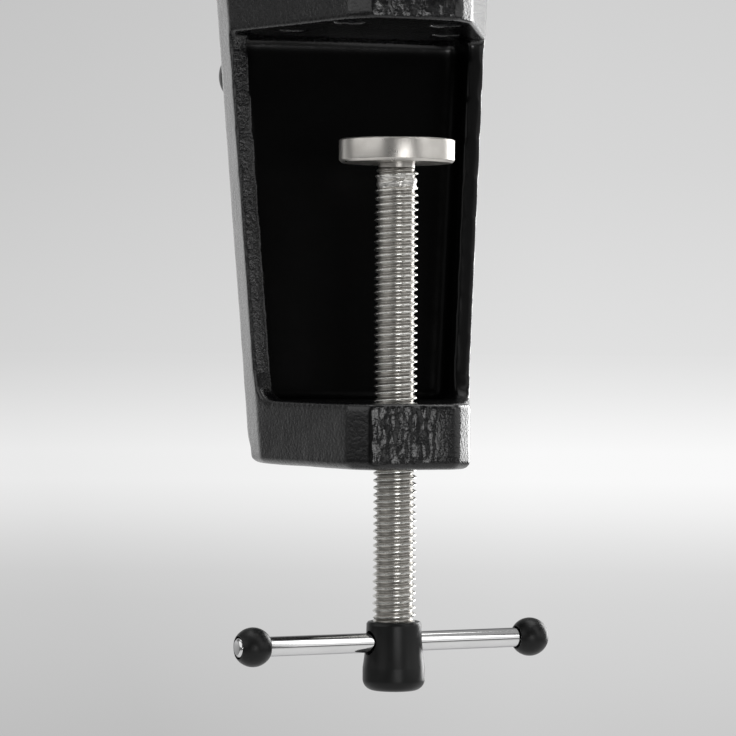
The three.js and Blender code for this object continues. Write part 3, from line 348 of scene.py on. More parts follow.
def softProfile(corners, cut=0.15, steps=5):
    # Each inner corner becomes a quadratic curve from a point a cut before it to a point a cut after
    # it: (1 - t)^2 a + 2 t (1 - t) corner + t^2 b.
    corners = withSix(corners)
    back = np.roll(corners, 1, axis=0) - corners
    ahead = np.roll(corners, -1, axis=0) - corners
    backLength = np.linalg.norm(back[:, :2], axis=1, keepdims=True) + 1e-9
    aheadLength = np.linalg.norm(ahead[:, :2], axis=1, keepdims=True) + 1e-9
    reach = np.minimum(cut, 0.45 * np.minimum(backLength, aheadLength))
    reach[[0, -1]] = 0
    t = np.linspace(0, 1, steps)[None, :, None]
    start = (corners + back / backLength * reach)[:, None]
    end = (corners + ahead / aheadLength * reach)[:, None]
    curve = (1 - t) ** 2 * start + 2 * t * (1 - t) * corners[:, None] + t ** 2 * end
    return curve.reshape(-1, 3)


def ringRows(profile, sides=96):
    # One ring of points for each profile row: radius times (cos a, sin a) at its height. A ring of six
    # sides has half the width across flats over cos of the angle from the flat's middle.
    profile = withSix(profile)
    angle = np.linspace(0, 2 * np.pi, sides + 1)[None]
    fromFlat = (angle + np.pi / 6) % (np.pi / 3) - np.pi / 6
    radius = profile[:, 0:1] * (1 + profile[:, 2:3] * (1 / np.cos(fromFlat) - 1))
    height = np.broadcast_to(profile[:, 1:2], radius.shape)
    return np.stack([radius * np.cos(angle), radius * np.sin(angle), height], axis=-1)


screwSides = 72


def threadRows(major, depth, pitch, low, high, stepsPerTurn=16, flat=0.08):
    # Rows follow the helix: height = pitch * (u + a / 2 pi), held between low and high. The radius is
    # the root plus depth * (3w^2 - 2w^3), where w is a clipped triangle wave of u, so crests and roots
    # are narrow and rounded. The ends taper at 45 degrees, and the first and last columns meet one
    # turn apart.
    turns = (high - low) / pitch
    u = np.arange(-1, turns + 1, 1 / stepsPerTurn)[:, None]
    angle = np.linspace(0, 2 * np.pi, screwSides + 1)[None]
    height = np.clip(low + pitch * (u + angle / (2 * np.pi)), low, high)
    wave = np.clip((np.abs(2 * (u % 1) - 1) - flat) / (1 - 2 * flat), 0, 1)
    radius = major / 2 - depth + depth * (3 * wave ** 2 - 2 * wave ** 3) + 0 * angle
    fromEnd = np.minimum(height - low, high - height)
    radius = np.minimum(radius, major / 2 - depth + fromEnd)
    return np.stack([radius * np.cos(angle), radius * np.sin(angle), height], axis=-1)


# Large odd numbers that scatter the noise's corners
scatter = {"cell": np.array([73856093, 19349663, 83492791]), "seed": 1013904223,
           "first": 2246822519, "second": 3266489917, "mask": 0xffffffff}


def valueNoise(points, size, seed):
    # From -1 to 1: a random number at each corner of a lattice, blended inside each cell by 3t^2 - 2t^3
    cell = points / size
    low = np.floor(cell).astype(np.int64)
    part = cell - low
    part = part * part * (3 - 2 * part)
    total = np.zeros(len(points))
    for corner in np.ndindex(2, 2, 2):
        key = (low + corner) @ scatter["cell"] + seed * scatter["seed"]
        key = ((key ^ (key >> 15)) * scatter["first"]) & scatter["mask"]
        key = ((key ^ (key >> 13)) * scatter["second"]) & scatter["mask"]
        weight = np.where(np.array(corner) == 1, part, 1 - part).prod(axis=1)
        total += weight * ((key ^ (key >> 16)) / (scatter["mask"] // 2) - 1)
    return total


def ramp(values, ends):
    # 0 at the first end and 1 at the second, straight between
    return np.clip((values - ends[0]) / (ends[1] - ends[0]), 0, 1)


def along(points, origin, axis):
    # Turns points made about Z so that Z becomes the axis, and moves them to the origin point
    axis = np.asarray(axis, float) / np.linalg.norm(axis)
    guide = np.array([0.0, 0.0, 1.0]) if abs(axis[2]) < 0.9 else np.array([1.0, 0.0, 0.0])
    side = np.cross(guide, axis)
    side /= np.linalg.norm(side)
    basis = np.stack([side, np.cross(axis, side), axis])
    return points @ basis + np.asarray(origin, float)


def evaluatedMesh(mesh, kind, **settings):
    # The mesh with one modifier worked out
    draft = newObject("draft", mesh)
    modifier = draft.modifiers.new("work", kind)
    for name, value in settings.items():
        setattr(modifier, name, value)
    evaluated = draft.evaluated_get(bpy.context.evaluated_depsgraph_get())
    result = bpy.data.meshes.new_from_object(evaluated)
    bpy.data.objects.remove(draft)
    return result


def meshPoints(mesh):
    # Its points in millimetres, and its normals
    places = np.empty(len(mesh.vertices) * 3, dtype=np.float32)
    normals = np.empty(len(mesh.vertices) * 3, dtype=np.float32)
    mesh.vertices.foreach_get("co", places)
    mesh.vertices.foreach_get("normal", normals)
    return places.reshape(-1, 3) / millimetre, normals.reshape(-1, 3)


def movePoints(mesh, change):
    # change takes the points and normals, and gives the new points
    moved = change(*meshPoints(mesh)) * millimetre
    mesh.vertices.foreach_set("co", moved.ravel())
    mesh.update()


def softened(node, voxel, smoothing, wear, trim=None):
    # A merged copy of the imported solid, rebuilt on a fine lattice and relaxed, so that its edges turn
    # soft. trim moves the points before they are relaxed, and wear afterwards.
    mesh = merged(nodes[node].data.copy())
    mesh.materials.clear()
    mesh = evaluatedMesh(mesh, "REMESH", mode="VOXEL", voxel_size=voxel * millimetre)
    if trim:
        movePoints(mesh, trim)
    mesh = evaluatedMesh(mesh, "SMOOTH", factor=0.5, iterations=smoothing)
    movePoints(mesh, wear)
    return smoothShaded(mesh, None)


holeSides = 64


def bored(body, cutterPoints):
    # The body less a closed cutting shape
    cutter = newObject("cutter", gridMesh("cutter", cutterPoints))
    result = evaluatedMesh(body, "BOOLEAN", operation="DIFFERENCE", solver="EXACT", object=cutter)
    bpy.data.objects.remove(cutter)
    return smoothShaded(result)


def dress(node, mesh, finish):
    # The new piece stands for the imported node: same body, with its finish in its only slot, and the
    # node is hidden
    piece = newObject(node + "_surface", mesh)
    piece.data.materials.clear()
    piece.data.materials.append(finishes[finish])
    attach(piece, bodyOf[node])
    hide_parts(node)
    return piece


casting = {
    "voxels": {"clamp_frame": 0.62, "socket_body": 0.5, "vise_body": 0.52, "movable_jaw": 0.55},
    "relax": 6,
    # Each unevenness has the size of its lumps, its depth and its random seed
    "wave": (9.0, 0.12, 3), "lump": (2.4, 0.035, 7), "grit": (1.1, 0.1, 13),
    "stroke": (np.array([1.4, 1.4, 2.9]), 0.16, 11),
    "roundSides": 24, "jointAxis": (0.0, 15.0), "roundLow": 12.5, "roundHigh": 65.0,
    "roundWithin": 40.0, "wallFacing": (0.5, 0.8),
    "ear": (44.0, 31.0), "earRadius": 8.5, "earInside": 0.12, "earBand": 0.6, "earFacing": 0.7,
}


def roundTrim(places, normals):
    # Walls about the ball's axis are made round: a wall of n flats, at the angle a from its corner, is
    # drawn in to its flats' distance by cos(a mod 2 pi / n - pi / n). The ears' tips get one radius.
    spec = casting
    places = places.copy()
    withinHeight = (places[:, 2] < spec["roundHigh"]) & (places[:, 2] > spec["roundLow"])
    offset = places[:, :2] - spec["jointAxis"]
    radius = np.hypot(offset[:, 0], offset[:, 1]) + 1e-6
    step = 2 * np.pi / spec["roundSides"]
    flat = np.cos(np.arctan2(offset[:, 1], offset[:, 0]) % step - step / 2)
    facing = np.abs((offset * normals[:, :2]).sum(axis=1)) / radius
    share = ramp(facing, spec["wallFacing"]) * withinHeight * (radius < spec["roundWithin"])
    places[:, :2] -= offset * ((1 - flat) * share)[:, None]
    offset = places[:, 1:] - spec["ear"]
    radius = np.hypot(offset[:, 0], offset[:, 1]) + 1e-6
    facing = (offset * normals[:, 1:]).sum(axis=1) / radius
    share = ((facing > spec["earFacing"]) & (offset[:, 0] > 0) & withinHeight
             & (np.abs(radius - spec["earRadius"]) < spec["earBand"]))
    wanted = spec["earRadius"] - spec["earInside"]
    places[:, 1:] += offset * ((wanted / radius - 1) * share)[:, None]
    return places


# The spine leans: depth = y - 0.069 z runs back from the front, and side = |x| - 0.063 z out from the
# middle. Each pair is where a share begins and where it is whole, in millimetres or, for facing and
# across, in parts of the normal.
skinPlace = {
    "lean": 0.069, "taper": 0.063, "frontFacing": (0.78, 0.95), "outerDepth": (26.0, 20.0),
    "rimDepth": (36.5, 33.0), "rightGrit": -0.4,
    # Where painted shade lies: the channel's inside, the right flange's inner side and the edge by the
    # arm's front facet
    "pocketSide": (29.2, 28.2), "pocketDepth": (32.0, 34.0), "pocketTop": (-0.5, -3.0),
    "pocketFacing": (0.6, 0.4),
    "shadedDepth": (27.0, 29.0), "shadedAcross": (0.6, 0.3), "shadedShare": 0.75,
    "facetEdgeShade": -9.75, "seamReach": (2.5, 1.5), "seamShare": 0.9,
    "armTop": -80.0, "dressed": (2.5, 6.0), "dressedShare": 0.97,
    "hammered": {"clamp_frame": 1.0, "socket_body": 0.0, "vise_body": 0.3, "movable_jaw": 0.3},
}


def skinShares(node, places, normals):
    # How hammered, sandy and shade-painted the casting is at each point. On the clamp, painted shade
    # falls on the
    #     # channel's inside, its right flange's inner side and the edge beside the arm's front facet,
    #     and the arm's right
    #     # edge has been filed smoother.
    spec = skinPlace
    x, y, z = places.T
    across, facing = normals[:, 0], normals[:, 1]
    depth = y - spec["lean"] * z
    side = np.abs(x) - spec["taper"] * z
    onArm = z < spec["armTop"]
    front = ramp(-facing, spec["frontFacing"])
    outer = ramp(depth, spec["outerDepth"])
    sandy = (front * np.clip(ramp(depth, spec["rimDepth"]) - outer, 0, 1)
             * np.where(x < 0, 1, spec["rightGrit"]))
    hammered = front * outer * spec["hammered"][node]
    if node != "clamp_frame":
        return hammered, sandy, 0 * hammered
    hammered *= 1 - spec["dressedShare"] * ramp(x, spec["dressed"]) * onArm
    inside = ramp(z, spec["pocketTop"]) * ramp(facing, spec["pocketFacing"])
    channel = ramp(side, spec["pocketSide"]) * ramp(depth, spec["pocketDepth"]) * inside
    shaded = (spec["shadedShare"] * ramp(depth, spec["shadedDepth"]) * inside
              * ramp(across, spec["shadedAcross"]) * (x > 0))
    facetEdgeShade = 4 * front * (1 - front) * ramp(np.abs(x - spec["facetEdgeShade"]), spec["seamReach"]) * onArm
    # Painted shade: these shares darken the enamel where the light does not reach
    pocket = np.maximum(np.maximum(channel, shaded), spec["seamShare"] * facetEdgeShade)
    return hammered, sandy, pocket


def castWear(node, places, normals):
    # The unevenness of a sand casting, only ever inwards along the normal: slow waves, small lumps,
    # strokes on the hammered skin and grit on the sandy one, each a noise from 0 to 1 times its depth
    hammered, sandy = skinShares(node, places, normals)[:2]
    shares = {"wave": 1.0, "lump": 1.0, "stroke": hammered, "grit": np.maximum(sandy, 0)}
    dip = np.zeros(len(places))
    for name, share in shares.items():
        size, deep, seed = casting[name]
        dip += deep * share * (valueNoise(places, size, seed) * 0.5 + 0.5)
    return places - normals * dip[:, None]


def paintSkin(node, mesh):
    # Writes the skin attribute that the enamel reads
    skin = np.stack(skinShares(node, *meshPoints(mesh)), axis=1).astype(np.float32)
    mesh.attributes.new("skin", "FLOAT_VECTOR", "POINT").data.foreach_set("vector", skin.ravel())


for node, voxel in casting["voxels"].items():
    mesh = softened(node, voxel, casting["relax"], partial(castWear, node), roundTrim)
    paintSkin(node, mesh)
    dress(node, mesh, "enamel")
    print("casting", node, len(mesh.polygons), "faces")

clampScrew = {
    "major": 9.525, "depth": 0.89, "pitch": 1.5875, "low": -130.8, "high": -31.2,
    "head": 4.7, "headEnd": -132.7,
    "tip": 3.9725, "tipTop": -26.9, "tipBevel": 0.4, "tipCut": 0.08,
    "groove": 3.3725, "grooveEnds": (-29.35, -27.85),
    # The band beaten flat: its ends, and how deep, how whole and how sharply it ends
    "peenLow": -36.0, "peenHigh": -33.0, "peenDepth": 0.42, "peenShare": 0.85, "peenEdge": 6.0,
    "peenLevel": 0.9, "wander": (1.1, 0.12, 9), "dents": (0.55, 0.25, 5),  # noise size, share and seed
}


def sharedNoise(points, spec):
    # From -share to share
    size, share, seed = spec
    return share * valueNoise(points, size, seed)


def clampScrewRows(spec):
    # Head end, thread and tip in one run of rings. A band under the pad is beaten flat, where the
    # screw has been gripped: crests and roots there meet at one radius that a noise roughens.
    head = ringRows([[0, spec["headEnd"]], [spec["head"], spec["headEnd"]],
                     [spec["head"], spec["low"]]], screwSides)
    thread = threadRows(spec["major"], spec["depth"], spec["pitch"], spec["low"], spec["high"])
    flat = thread.reshape(-1, 3)
    radius = np.hypot(flat[:, 0], flat[:, 1])
    height = (flat[:, 2] - spec["peenLow"]) / (spec["peenHigh"] - spec["peenLow"])
    edge = height + sharedNoise(flat, spec["wander"])
    band = np.clip(spec["peenEdge"] * np.minimum(edge, 1 - edge), 0, 1)
    dent = spec["peenLevel"] + sharedNoise(flat, spec["dents"])
    beaten = spec["major"] / 2 - spec["peenDepth"] * dent
    scale = (radius + (beaten - radius) * band * spec["peenShare"]) / radius
    thread = (flat * np.column_stack([scale, scale, np.ones(len(scale))])).reshape(thread.shape)
    low, high = spec["grooveEnds"]
    tip = ringRows(softProfile([
        [spec["tip"], spec["high"]], [spec["tip"], low], [spec["groove"], low], [spec["groove"], high],
        [spec["tip"], high], [spec["tip"], spec["tipTop"] - spec["tipBevel"]],
        [spec["tip"] - spec["tipBevel"], spec["tipTop"]], [0, spec["tipTop"]]],
        spec["tipCut"]), screwSides)
    return np.concatenate([head, thread, tip])


dress("clamp_screw", gridMesh("clampScrew", clampScrewRows(clampScrew)), "clampThread")

clampPad = {
    "corners": [  # radius and height, from the bore's top down and round to the face on the table
        [0, -26.6], [4.2725, -26.6], [4.2725, -27.85], [4.8725, -27.85], [4.8725, -29.35],
        [4.2725, -29.35], [4.2725, -30.2], [12.1, -30.2], [12.7, -29.6], [12.7, -25.3], [12.4, -25.0],
        [0, -25.0]],
    "cut": 0.12, "sides": 144,
}
padRows = ringRows(softProfile(clampPad["corners"], clampPad["cut"]), clampPad["sides"])
dress("clamp_pad", gridMesh("clampPad", padRows), "pad")
print("clamp screw and pad made")

handle = {
    "barRadius": 2.15, "barHalf": 37.88, "barBevel": 0.5, "barBulge": 0.06, "barCut": 0.2,
    "ballRadius": 4.3, "ballHole": 2.45, "ballFlat": 0.2, "ballPlace": 34.0,
    "mouth": 6.05, "wide": 6.85, "length": 15.2, "round": 2.5, "bore": 5.0, "wall": 2.3,
    "lip": [(-0.7, 0.0), (-0.3, 0.12), (0.0, 0.55)],  # round the mouth: out from it, and height
    "barFromMouth": 4.6, "barSlack": 0.3, "barSides": 48, "ballSides": 64, "sleeveSides": 120,
    # The cross hole's bell mouths: distance from its middle, and what they add to the hole's radius
    "bell": [(5.2, 0.0), (6.2, 0.22), (7.2, 0.75), (9.0, 1.3)],
}


def barRows(spec):
    # A round bar with bevelled ends that bulge a little towards the middle
    r, h, b, bulge = spec["barRadius"], spec["barHalf"], spec["barBevel"], spec["barBulge"]
    profile = [[0, -h], [r - b, bulge - h], [r, b - h], [r, h - b], [r - b, h - bulge], [0, h]]
    return ringRows(softProfile(profile, spec["barCut"]), spec["barSides"])


def barBallRows(spec):
    # A ball with a hole: radius r cos t and height r sin t between its two flats, closed through it
    r, hole = spec["ballRadius"], spec["ballHole"]
    edge = math.acos((hole + spec["ballFlat"]) / r)
    t = np.linspace(-edge, edge, 33)
    skin = np.column_stack([r * np.cos(t), r * np.sin(t)])
    start = np.array([[hole, skin[0, 1]]])
    return ringRows(np.concatenate([start, skin, start * [1, -1], start]), spec["ballSides"])


def sleeveMesh(spec, centre, barAxis, out):
    # A flared sleeve: radius = mouth + flare * share^2 up to a rounded end, bored from its mouth, with
    # a bell-mouthed cross hole for the bar. out points from the mouth to the far end.
    share = np.linspace(0, 1, 33)
    straight = spec["length"] - 2 * spec["round"]
    flare = np.column_stack([spec["mouth"] + (spec["wide"] - spec["mouth"]) * share ** 2,
                             share * straight])
    turn = np.linspace(0, np.pi / 2, 17)
    end = np.column_stack([spec["wide"] - spec["round"] * (1 - np.cos(turn)),
                           spec["length"] - spec["round"] + spec["round"] * np.sin(turn)])
    floor = spec["length"] - spec["wall"]
    bore = [[0, floor], [spec["bore"], floor], [spec["bore"], 0.0]]
    lip = np.array(spec["lip"]) + [spec["mouth"], 0.0]
    profile = np.concatenate([bore, lip, flare[3:], end, [[0, spec["length"]]]])
    start = np.array(centre) - np.array(out) * spec["barFromMouth"]
    body = gridMesh("sleeve", along(ringRows(profile, spec["sleeveSides"]), start, out))
    reach, widening = np.array(spec["bell"]).T
    half = np.column_stack([spec["barRadius"] + spec["barSlack"] + widening, reach])
    half = np.concatenate([half, [[0, reach[-1]]]])
    hole = np.concatenate([half[::-1] * [1, -1], half])
    return bored(body, along(ringRows(hole, holeSides), centre, barAxis))


barTurn = math.radians(10)
handles = {
    "clamp": {"centre": (0, 0, -135.4), "axis": (math.cos(barTurn), math.sin(barTurn), 0),
              "out": (0, 0, -1)},
    "vise": {"centre": (0, 74.1, 82.0), "axis": (1, 0, 0), "out": (0, 1, 0)},
}
for name, spec in handles.items():
    centre, axis = np.array(spec["centre"]), np.array(spec["axis"])
    bar = gridMesh("tommyBar", along(barRows(handle), centre, axis))
    dress(name + "_tommy_bar", bar, "polishedChrome")
    for side, word in ((-1, "left"), (1, "right")):
        middle = centre + side * handle["ballPlace"] * axis
        ball = gridMesh("barBall", along(barBallRows(handle), middle, axis))
        dress(f"{name}_bar_ball_{word}", ball, "satinBlackPlastic")
    sleeve = sleeveMesh(handle, centre, axis, spec["out"])
    dress(name + "_screw_sleeve", sleeve, "satinBlackPlastic")
    print("handle", name, len(sleeve.polygons), "faces in its sleeve")

joint = {"radius": 16.0, "flat": 14.2, "hole": 4.3, "holeFloor": 2.7, "sides": 128}


def jointBallRows(spec):
    # A ball cut flat on top: radius r cos t and height r sin t, with the stem's hole in the flat
    t = np.linspace(-math.pi / 2, math.asin(spec["flat"] / spec["radius"]), 65)
    skin = np.column_stack([spec["radius"] * np.cos(t), spec["radius"] * np.sin(t)])
    hole = [[spec["hole"], spec["flat"]], [spec["hole"], spec["holeFloor"]], [0, spec["holeFloor"]]]
    return ringRows(np.concatenate([skin, hole]), spec["sides"])


dress("ball", gridMesh("jointBall", jointBallRows(joint) + ballCentre), "polishedChrome")

stem = {
    "corners": [  # radius and height over the ball's centre: spigot, neck, flange and vise post
        [0, 4.5], [3.4, 4.5], [4, 5.1], [4, 14.5], [6.5, 14.5], [6.5, 20], [7.5, 21], [11.4, 21],
        [12, 21.6], [12, 23.4], [11.4, 24], [7, 24], [7, 36.4], [6.4, 37], [0, 37]],
    "cut": 0.25,
}
stemRows = ringRows(softProfile(stem["corners"], stem["cut"]))
dress("ball_stem", gridMesh("ballStem", stemRows + ballCentre), "stem")

lever = {"root": (-16, 44, 31), "angle": math.radians(-55), "start": 2.3, "thick": 3.0,
         "thickEnd": 10.0, "thin": 2.3, "thinStart": 39.0, "end": 46.0, "cut": 0.6,
         "sides": 48, "knobRadius": 7.0, "knobMouth": 3.6, "knobHole": 2.6, "holeFloor": 46.3}
leverAxis = (0, math.cos(lever["angle"]), math.sin(lever["angle"]))
leverRows = ringRows(softProfile([
    [0, lever["start"]], [lever["thick"], lever["start"]], [lever["thick"], lever["thickEnd"]],
    [lever["thin"], lever["thinStart"]], [lever["thin"], lever["end"]], [0, lever["end"]]],
    lever["cut"]), lever["sides"])
dress("lock_lever", gridMesh("lockLever", along(leverRows, lever["root"], leverAxis)), "polishedChrome")

lockScrew = {
    "place": (0, 44, 31), "hub": 7.0, "hubStart": -21.0, "hubEnd": -11.0, "hubCut": 0.7, "shank": 4.0,
    "threadStart": 10.0, "taper": 0.5, "end": 18.0, "pitch": 1.25, "depth": 0.75, "hole": 3.3,
    # The lever's hole: how far out from the screw's axis, and what it adds to the hole's radius
    "holeFloor": 2.0, "bell": [(6.0, 0.0), (6.6, 0.15), (7.4, 0.6), (12.0, 0.6)],
}


def lockScrewMesh(spec):
    # Hub, shank and threaded end in one run of rings, then the hub is bored for the lever
    root = spec["shank"] - spec["depth"]
    hub = ringRows(softProfile([
        [0, spec["hubStart"]], [spec["hub"], spec["hubStart"]], [spec["hub"], spec["hubEnd"]],
        [spec["shank"], spec["hubEnd"]], [spec["shank"], spec["threadStart"] - spec["taper"]],
        [root, spec["threadStart"]]], spec["hubCut"]), screwSides)
    end = threadRows(2 * spec["shank"], spec["depth"], spec["pitch"], spec["threadStart"], spec["end"])
    rows = np.concatenate([hub, end, ringRows([[0, spec["end"]]], screwSides)])
    reach, widening = np.array(spec["bell"]).T
    wall = np.column_stack([spec["hole"] + widening, reach])
    floor = [[0, spec["holeFloor"]], [spec["hole"], spec["holeFloor"]]]
    hole = np.concatenate([floor, wall, [[0, reach[-1]]]])
    body = gridMesh("lockScrew", along(rows, spec["place"], (1, 0, 0)))
    return bored(body, along(ringRows(hole, holeSides), lever["root"], leverAxis))


def knobRows(spec):
    # A ball of radius r about the lever's end, open where the lever enters: r cos t out, r sin t up
    r = spec["knobRadius"]
    t = np.linspace(-math.acos(spec["knobMouth"] / r), math.pi / 2, 41)
    skin = np.column_stack([r * np.cos(t), spec["end"] + r * np.sin(t)])
    hole = [[0, spec["holeFloor"]], [spec["knobHole"], spec["holeFloor"]],
            [spec["knobHole"], skin[0, 1]]]
    return ringRows(np.concatenate([hole, skin]))


dress("lock_screw", lockScrewMesh(lockScrew), "zincPlatedSteel")
knob = gridMesh("leverKnob", along(knobRows(lever), lever["root"], leverAxis))
dress("lock_lever_knob", knob, "satinBlackPlastic")
print("ball joint made")

# The gripping sides lie within reach of the middle between the jaws
plate = {"voxel": 0.26, "relax": 2, "pitch": 1.6, "groove": 0.3, "sharp": 2.2, "border": 1.6,
         "fade": 0.4, "middle": 38.0, "reach": 7.6, "facing": (0.9, 0.98)}


def gripWear(places, normals):
    # Two sets of grooves at 45 degrees cut into the gripping face: the depth is a triangle wave of
    # x + z and of x - z, faded out along the border and on every side but the gripping one
    spec = plate
    low, high = places.min(0), places.max(0)
    edge = np.minimum(places - low, high - places)[:, [0, 2]].min(1)
    inside = ramp(edge, (spec["border"], spec["border"] + spec["fade"]))
    front = ramp(np.abs(normals[:, 1]), spec["facing"])
    front = front * (np.abs(places[:, 1] - spec["middle"]) < spec["reach"])
    step = spec["pitch"] * math.sqrt(2)
    one, two = (np.abs(((places[:, 0] + way * places[:, 2]) / step) % 1 - 0.5) * 2 for way in (1, -1))
    depth = spec["groove"] * np.clip(1 - spec["sharp"] * np.minimum(one, two), 0, 1) * inside * front
    return places - normals * depth[:, None]


for node in ("fixed_jaw_plate", "movable_jaw_plate"):
    mesh = softened(node, plate["voxel"], plate["relax"], gripWear)
    dress(node, mesh, "groundHardenedSteel")
    print("plate", node, len(mesh.polygons), "faces")

leadScrew = {"major": 10.0, "depth": 1.1, "pitch": 2.0, "low": -45.0, "high": 44.0, "journal": 4.4,
             "head": 4.7, "headStart": 69.5, "headEnd": 71.4}


def leadScrewRows(spec):
    # Thread, journal and head in one run of rings
    return np.concatenate([
        ringRows([[0, spec["low"]]], screwSides),
        threadRows(spec["major"], spec["depth"], spec["pitch"], spec["low"], spec["high"]),
        ringRows([[spec["journal"], spec["high"]], [spec["journal"], spec["headStart"]],
                  [spec["head"], spec["headStart"]], [spec["head"], spec["headEnd"]],
                  [0, spec["headEnd"]]], screwSides)])


leadRows = along(leadScrewRows(leadScrew), leadAxisPlace, (0, 1, 0))
dress("lead_screw", gridMesh("leadScrew", leadRows), "leadThread")
print("lead screw made")


def nodeMiddle(node):
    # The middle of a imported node's box and its sides, in millimetres
    low, high = (np.array(corner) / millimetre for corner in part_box(node))
    return (low + high) / 2, high - low


def capScrewRows(size, shank):
    # A socket-head screw with its head on height 0: shank, head, chamfered rim and a six-sided key
    # hole, each a share of the thread's size
    head, key = 0.86 * size, 0.4 * size
    return ringRows(softProfile([
        [0, -shank, 0], [0.4 * size, -shank, 0], [0.5 * size, -shank + 0.1 * size, 0],
        [0.5 * size, 0, 0], [head, 0, 0], [head, 0.92 * size, 0], [head - 0.08 * size, size, 0],
        [key * 1.16, size, 0], [key, 0.94 * size, 1], [key, 0.45 * size, 1], [0, 0.4 * size, 1]],
        0.06 * size), screwSides)


def sunkScrewRows(size, headWidth, length):
    # A countersunk screw with its face on height 0 and a six-sided key hole
    head, key = headWidth / 2, 0.3 * size
    return ringRows(softProfile([
        [0, -length, 0], [0.4 * size, -length, 0], [0.5 * size, -length + 0.1 * size, 0],
        [0.5 * size, size / 2 - head, 0], [head, -0.2, 0], [head, 0, 0], [key * 1.16, 0, 0],
        [key, -0.12, 1], [key, -0.4 * size, 1], [0, -0.45 * size, 1]], 0.05 * size), screwSides)


def nutRows(width, thickness, hole, turnedOff=0.9, cut=0.12):
    # A hexagon nut: six flats whose corners are turned off at both ends, to a ring a little narrower
    half, top = width / 2, thickness / 2
    ring, low = 0.98 * half, top - turnedOff
    return ringRows(softProfile([[hole, -top, 0], [ring, -top, 0], [half, -low, 1], [half, low, 1],
                                 [ring, top, 0], [hole, top, 0], [hole, -top, 0]], cut))


def washerRows(outer, inner, thickness, cut=0.18):
    # A flat ring with soft edges, whose profile closes in the hole
    top = thickness / 2
    return ringRows(softProfile([[inner, 0], [inner, -top], [outer, -top], [outer, top], [inner, top],
                                 [inner, 0]], cut))


small = {
    "capScrews": {"socket_screw_1": 4.0, "socket_screw_2": 4.0, "socket_screw_3": 4.0,
                  "socket_screw_4": 4.0, "lead_nut_screw": 5.0},  # thread size
    "plateScrew": 5.0, "plateScrewHead": 9.6,
    "washers": {"lock_washer": ((1, 0, 0), 4.3), "lead_nut_washer": ((0, 0, 1), 2.8),
                "thrust_washer": ((0, 1, 0), 4.7)},  # axis and the hole's radius
    "nutWidth": 13.0, "nutHole": 4.05,
}
for node, diameter in small["capScrews"].items():
    middle, size = nodeMiddle(node)
    seat = (middle[0], middle[1], middle[2] - size[2] / 2 + diameter)
    rows = along(capScrewRows(diameter, size[2] - diameter), seat, (0, 0, -1))
    dress(node, gridMesh("capScrew", rows), "blackOxideSteel")
for number in (1, 2, 3, 4):
    node = f"jaw_plate_screw_{number}"
    middle, size = nodeMiddle(node)
    out = 1 if number < 3 else -1
    face = (middle[0], middle[1] + out * size[1] / 2, middle[2])
    rows = sunkScrewRows(small["plateScrew"], small["plateScrewHead"], size[1])
    rows = along(rows, face, (0, out, 0))
    dress(node, gridMesh("sunkScrew", rows), "blackOxideSteel")
for node, (axis, inner) in small["washers"].items():
    middle, size = nodeMiddle(node)
    thickness = float(np.abs(np.dot(size, axis)))
    rows = along(washerRows(size.max() / 2, inner, thickness), middle, axis)
    dress(node, gridMesh("washer", rows), "zincPlatedSteel")
middle, size = nodeMiddle("lock_nut")
rows = along(nutRows(small["nutWidth"], size[0], small["nutHole"]), middle, (1, 0, 0))
dress("lock_nut", gridMesh("lockNut", rows), "zincPlatedSteel")
print("small screws, nut and washers made")

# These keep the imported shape
kept = {"pad_snap_ring": "blackOxideSteel", "ball_seat": "naturalNylon",
        "stem_set_screw": "blackOxideSteel", "lead_nut": "machinedBrass",
        "lead_screw_collar": "zincPlatedSteel", "collar_pin": "blackOxideSteel"}
for node, finish in kept.items():
    for place in nodes[node].material_slots:
        place.material = finishes[finish]
print("kept nodes finished:", len(kept))

# In metres: a wide pale disc
floor = {
    "height": -0.30, "radius": 34.0, "rings": (0, 0.01, 0.02, 0.04, 0.1, 0.3, 1.0), "sides": 96,
    "colour": "#d2d2d2", "away": {"From Min": 0.4, "From Max": 0.85},
    "shadeReach": 1.968, "shadeShift": 0.75,
    "gloss": {"From Min": 0.5, "From Max": 0.95, "To Min": 0.22, "To Max": 1.0},
    # Row of the picture from the horizon down, as a share of the lowest one, with the shade there
    "shades": {0.0: "#d9d9d9", 0.072: "#dcdcdc", 0.146: "#e3e3e3", 0.22: "#ebebeb", 0.295: "#f2f2f2",
               0.369: "#f2f2f2", 0.443: "#eaeaea", 0.517: "#dfdfdf", 0.592: "#d5d5d5", 0.666: "#d0d0d0",
               0.814: "#cbcbcb", 1.0: "#c4c4c4"},
}
room = {
    "ambient": 0.5, "ambientColour": "#ffffff",
    "wall": {"From Min": 0.6, "From Max": 1.0, "To Min": 0.2, "To Max": 1.4},
    "ceiling": {"From Min": 0.45, "From Max": 0.8, "To Min": 0.0, "To Max": 1.3},
    # The far end of the floor goes on in the sky a little under the horizon, so that no line shows
    "height": {"From Min": -0.05},
    "shades": {0.0: "#eeeeee", 0.022: "#e3e3e3", 0.035: "#dcdcdc", 0.048: "#d9d9d9", 0.095: "#d0d0d0",
               0.333: "#b4b4b4", 1.0: "#868686"},
}
# The backdrop is a little darker to the left: the level at two values of a heading's X
sideLevel = {"From Min": 0.17, "From Max": 0.33, "To Min": 0.93, "To Max": 1.065}
gently = {"interpolation_type": "SMOOTHSTEP"}


def seenRay(tree):
    # 1 for rays from the camera, from gloss and through glass, 0 for the light on dull surfaces
    path = addNode(tree, "LightPath").outputs
    both = addNode(tree, "Math", {0: path["Is Camera Ray"], 1: path["Is Glossy Ray"]},
                   operation="MAXIMUM")
    return addNode(tree, "Math", {0: both, 1: path["Is Transmission Ray"]}, operation="MAXIMUM")


